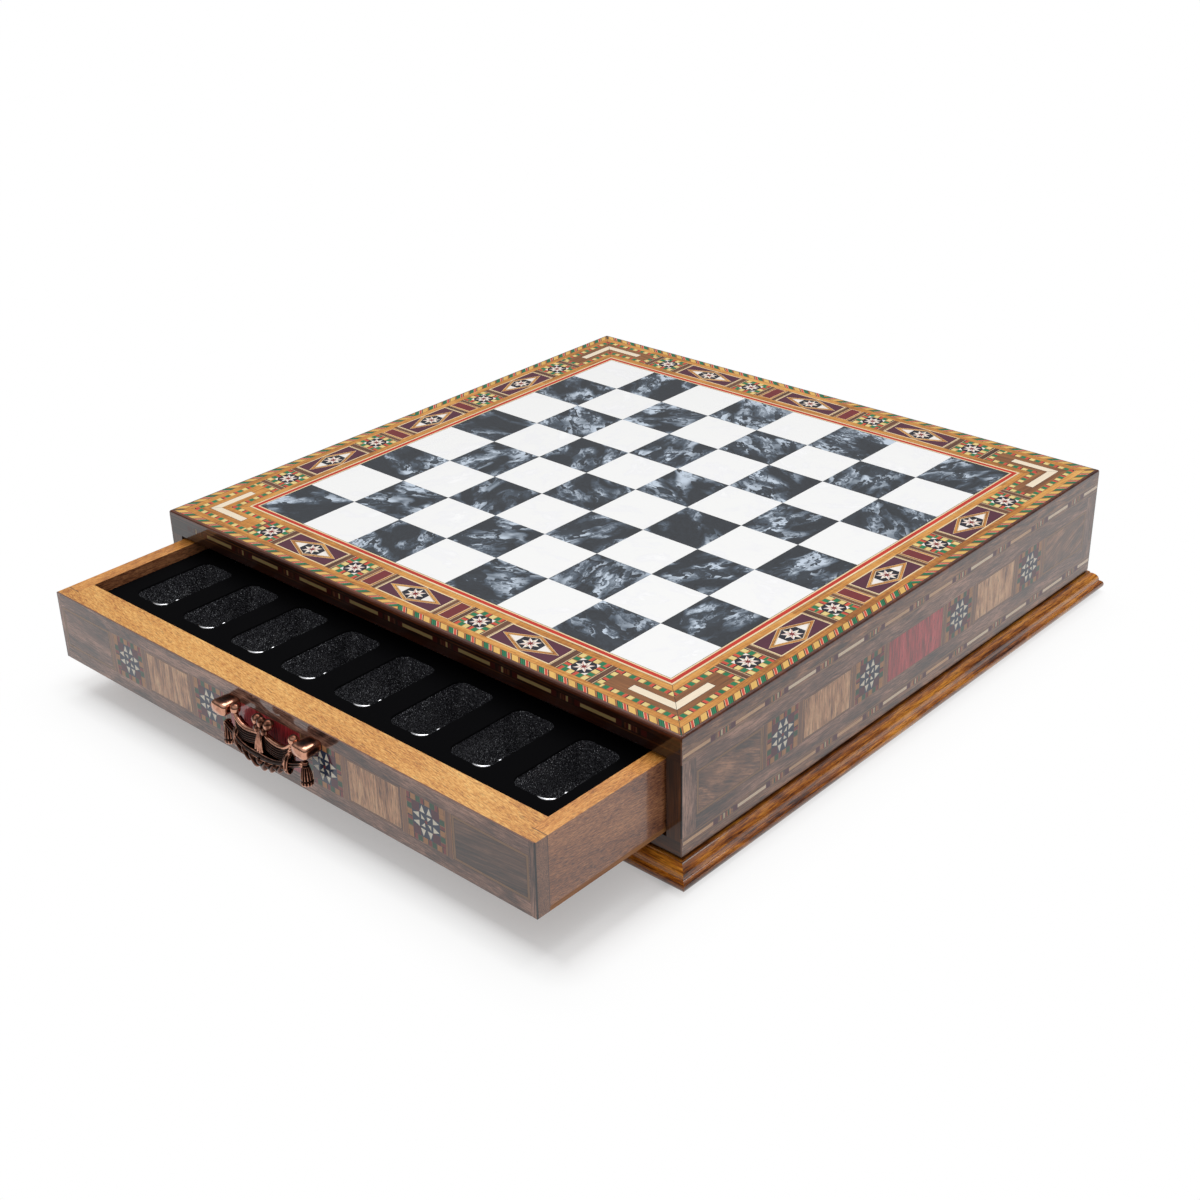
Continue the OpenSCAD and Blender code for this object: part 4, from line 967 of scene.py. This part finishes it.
def wear_map(me):
    """Paints how far each point stands proud of its surroundings, near by and farther off."""
    n = len(me.vertices)
    co, nor = np.array([v.co for v in me.vertices]) / MM, np.array([v.normal for v in me.vertices])
    ends = np.array([e.vertices[:] for e in me.edges])
    a, b = np.r_[ends, ends[:, ::-1]].T
    count = np.maximum(np.bincount(a, minlength=n), 1)[:, None]
    weights = {3: 2.2, 24: 0.55}            # by rounds of smoothing
    proud, smooth = np.zeros(n), co.copy()
    for rounds in range(1, max(weights) + 1):
        mean = np.stack([np.bincount(a, smooth[b, i], n) for i in range(3)], 1) / count
        smooth = 0.5 * smooth + 0.5 * mean
        proud += ((co - smooth) * nor).sum(1) * weights.get(rounds, 0)
    att = me.attributes.new("wear", "FLOAT", "POINT")
    att.data.foreach_set("value", np.clip(0.5 + proud, 0, 1))


def finish_metal(bm, name, body, replaced, place):
    for v in bm.verts:
        v.co = place(*(v.co + PIVOT))
    paint(bm.faces, 0)
    wear_map(make_piece(bm, name, (COPPER,), body, (replaced,)).data)


def rim_z(x):
    """The rim hangs in two arcs, from the knot and from the balls."""
    a = abs(x) - LOW_X
    reach, rise = (BALL_X - LOW_X, RIM_DROP) if a > 0 else (LOW_X, RIM_DROP - KNOT_DROP)
    r = (reach * reach + rise * rise) / (2 * rise)
    return -RIM_DROP + r - sqrt(max(0, r * r - a * a))


def foot_z(x):
    return -17 + 3.5 * (x / BIND_X) ** 2


def step(a, b, x):
    k = min(1, max(0, (x - a) / (b - a)))
    return k * k * (3 - 2 * k)


def swag(bm):
    """Cloth that hangs between the balls in fine pleats, over a smooth band, with a rolled rim."""
    def shape(u, v):
        s = 2 * u - 1
        reach = BALL_X - 0.5 - v * (BALL_X - BIND_X)
        return s, s * reach, rim_z(s * (BALL_X - 0.5)) * (1 - v) + foot_z(s * BIND_X) * v

    def front(u, v):
        s, x, z = shape(u, v)
        a = abs(s)
        fan = 0.42 + 0.27 * min(1, a * 1.25)
        band = 0.71 - 0.04 * a
        if v < band:
            # fine pleats hang from the knot and gather again at the ring
            q = v / fan
            full = sin(pi * min(1, 0.14 + 0.78 * a))
            sheet = 1 + 1.25 * full * sin(pi * min(1, 0.25 + 0.6 * q))
            ridge = 0.34 * (0.5 + 0.5 * cos(tau * 5.5 * q)) * (0.4 + 0.6 * full)
            deep, edge = step(0.96, 1.12, q), step(band - 0.05, band, v)
            y = (0.9 * deep - (sheet + ridge) * (1 - deep)) * (1 - edge) - 2 * edge
        else:
            # the smooth band, hollowed between two fine lips
            k = (v - band) / (1 - band)
            lip = exp(-((k - 0.06) / 0.05) ** 2) + exp(-((k - 0.9) / 0.06) ** 2)
            y = -2.1 - 0.75 * sin(pi * (0.1 + 0.85 * k)) - 0.3 * lip
        return lean(x, y, z)

    def back(u, v):
        _, x, z = shape(u, v)
        p = lean(x, 1.2, z)
        if v > 0.15:
            p.y = 2.3
        return p
    grid_solid(bm, front, back, 120, 80)

    def rim(u, a):
        s = 2 * u - 1
        x = s * (BALL_X - 1)
        r = 1.35 - 0.35 * exp(-(s / 0.09) ** 2)
        return lean(x, 1.1 * r * cos(a) - 0.5, rim_z(x) + r * sin(a))
    tube(bm, rim, 90, 16)


def leaf(bm):
    """Two ruffled sprays that meet in the middle under the swag, with veins that slant outwards."""
    lobes, reach = 3.5, BIND_X + 1.2

    def front(u, v):
        s = 2 * u - 1
        a = abs(s)
        bulge = abs(sin(pi * (a * lobes + 0.8 * v + 0.25))) ** 0.6
        scallop = abs(sin(pi * (a * lobes + 1.05)))
        deep = (6.4 - 2 * a ** 1.5) * (0.74 + 0.26 * scallop)
        x = s * BIND_X * 1.04 + copysign(0.9 * v * min(1, 6 * a), s)
        y = -1.3 - 0.8 * sin(pi * (0.1 + 0.8 * v)) - 1.25 * bulge * sin(pi * (0.12 + 0.76 * v))
        return lean(min(max(x, -reach), reach), y, foot_z(x) + 1.4 - deep * v)

    def back(u, v):
        return front(u, v) + Vector((0, 1.1 + 0.6 * (1 - v), 0.15 * v))
    grid_solid(bm, front, back, 180, 16)
    ball(bm, lean(0, -2.9, foot_z(0) + 0.6), 0.75, 0.55, 0.75)


def finial(bm):
    """A knot of five bulbs, a bead between them, and a fringe of strands."""
    for s in (-1, 1):
        ball(bm, lean(s * 4.1, -1, 2.5), 2.7, 3, 2.9, 0.06)
        ball(bm, lean(s * 2.6, -2, -1.3), 2.1, 2.1, 2.3, 0.08)
    ball(bm, lean(0, -1.9, 2.5), 2.3, 2.5, 3, 0.06)
    ball(bm, lean(0, -2.6, 1.4), 1, 1.1, 1.7)
    for k in (-1.5, -0.5, 0.5, 1.5):
        def strand(u, a, k=k):
            r = 0.42 + 0.22 * sin(pi * u * 0.9) + 0.14 * u
            return lean(k * (0.5 + 1.25 * u ** 1.3) + r * cos(a),
                        -2 - 0.9 * sin(pi * (0.15 + 0.7 * u)) + r * sin(a),
                        -0.8 - 12.2 * u + 0.5 * abs(k) * u)
        tube(bm, strand, 20, 12)


def binding(bm, s):
    """An oval hoop of three ribs round the end of the swag, and the gathered tail out to the tassel."""
    def band(u, b):
        a = tau * u
        r = (0.62 + 0.2 * cos(6 * b)) * cos(b)
        n = Vector((0, cos(a) * 5.2, sin(a) * 2.3)).normalized() * r
        return lean(s * (BIND_X + 1.75 * sin(b)), 2.25 * cos(a) + n.y, -12 + 5.1 * sin(a) + n.z)
    tube(bm, band, 48, 24, True)

    def tail(u, a):
        x = BIND_X - 1.5 + (POST_X - BIND_X + 0.2) * u
        r = (2.9 - 1.3 * u - 0.5 * sin(pi * u)) * (1 + 0.14 * cos(7 * a))
        return lean(s * x, 0.85 * r * cos(a), -12.6 + 4 * u ** 1.3 + r * sin(a))
    tube(bm, tail, 24, 56)


# the outline of a tassel: how far down, and its radius
TASSEL = [(0, 0.4), (0.04, 1.5), (0.12, 1.75), (0.17, 1.35), (0.22, 1.9), (0.4, 2.5), (0.62, 2.95), (0.74, 3.1),
          (0.78, 2.6), (0.83, 3.25), (0.94, 3.3), (1, 2.6)]


def tassel(bm, s):
    """A fluted bell with a fluted foot, hung under the post's inner side."""
    def f(u, a):
        flute = 0.10 if 0.24 < u < 0.76 else (0.07 if u > 0.8 else 0)
        r = np.interp(u, *zip(*TASSEL)) * (1 + flute * cos(12 * a) - flute)
        return s * (POST_X - 1.3) + r * cos(a), r * sin(a), -7.4 - 13.3 * u
    tube(bm, f, 44, 72)


def pin(bm, s):
    def f(u, a):
        return s * (BALL_X + (POST_IN + 2.7 - BALL_X) * u), PIN_R * cos(a), PIN_R * sin(a)
    tube(bm, f, 4, 16)


def post(bm, s):
    """A cast block, broad and rounded at its nose."""
    square, round_off = 3.6, 3.2

    def f(u, a):
        c, q = cos(a), sin(a)
        nose = max(0, (u - 0.72) / 0.28)
        foot = max(0, (0.1 - u) / 0.1)
        k = (1 - nose ** round_off) ** (1 / round_off) if nose < 1 else 0
        k = max(k, 0.03) * (1 - 0.05 * foot)
        grow = 0.9 + 0.1 * min(1, u * 1.4)
        r = (abs(c) ** square + abs(q) ** square) ** (-1 / square)
        k *= grow * r
        return s * POST_X + 5.45 * k * c, 6 - 11.45 * u, 3.45 * k * q - 0.15 * nose
    tube(bm, f, 28, 40)


for side, turn, shift in DRAWERS:
    place = turned_place(turn, shift)
    bm = bmesh.new()
    swag(bm)
    leaf(bm)
    finial(bm)
    for s in (-1, 1):
        ball(bm, (s * BALL_X, 0, BALL_RISE), BALL_R, BALL_R, BALL_R)
        pin(bm, s)
        binding(bm, s)
        tassel(bm, s)
    finish_metal(bm, side + "_swag_bail", side + "_bail", side + "_drawer_bail", place)
    bm = bmesh.new()
    for s in (-1, 1):
        post(bm, s)
    finish_metal(bm, side + "_cast_posts", side + "_drawer", side + "_drawer_posts", place)

# ---- stage, light and camera
bpy.ops.mesh.primitive_plane_add(size=12)
floor = bpy.context.object
floor.name = "studio_floor"
m, t, b = shader("floor_white")
rays = node(t, "LightPath")
shown = rays["Is Camera Ray"].most(rays["Is Glossy Ray"]).most(rays["Is Transmission Ray"])
put(b, Base_Color=mix(shown, 0.5, 0.96), Roughness=1, Specular_IOR_Level=0)
glow = node(t, "Emission", Color=(1, 1, 1, 1))
# the floor fades into the white backdrop away from the object, and stays light in its shadow
spot = parts(t)
away = node(t, "CombineXYZ", X=(abs(spot["X"]) - 0.185).most(0), Y=(abs(spot["Y"] + 0.04) - 0.225).most(0))
fade = ramp(away.vector("LENGTH")["Value"], (0, 0.36), (0.006, 0.6), (0.02, 0.9), (0.045, 1))
blend = node(t, "MixShader", i0=fade * shown, i1=Value(b.outputs[0]), i2=glow)
put(t.nodes["Material Output"], Surface=blend)
floor.data.materials.append(m)

world = scene.world = bpy.data.worlds.new("studio")
world.use_nodes = True
t = world.node_tree
t.nodes.clear()
sky = ramp(parts(t, "Generated")["Z"], (0, 0.1), (0.3, 0.16), (0.5, 0.3), (0.72, 0.75), (1, 1))
lit, seen = [node(t, "Background", Color=c) for c in (sky, (1, 1, 1, 1))]
both = node(t, "MixShader", i0=node(t, "LightPath")["Is Camera Ray"], i1=lit, i2=seen)
put(t.nodes.new("ShaderNodeOutputWorld"), Surface=both)

lamp_data = bpy.data.lights.new("overhead", "AREA")
lamp_data.shape = "RECTANGLE"
lamp_data.size, lamp_data.size_y = 1.6, 1.2
lamp_data.energy = 22
lamp = new_object("overhead", lamp_data)
lamp.location = (-0.2, 0.5, 1.9)
lamp.rotation_euler = (-lamp.location).to_track_quat("-Z", "Y").to_euler()

cam_data = bpy.data.cameras.new("camera")
cam = scene.camera = new_object("camera", cam_data)
cam_data.sensor_width = 36
cam_data.lens = 53.2687
cam_data.shift_x, cam_data.shift_y = 0.04896, -0.00147
cam_data.clip_start = 0.01
cam.location = (0.60951, -0.70465, 0.49826)
cam.rotation_euler = [radians(a) for a in (62.33161, 1.96098, 43.30733)]
scene.view_settings.view_transform = "Standard"
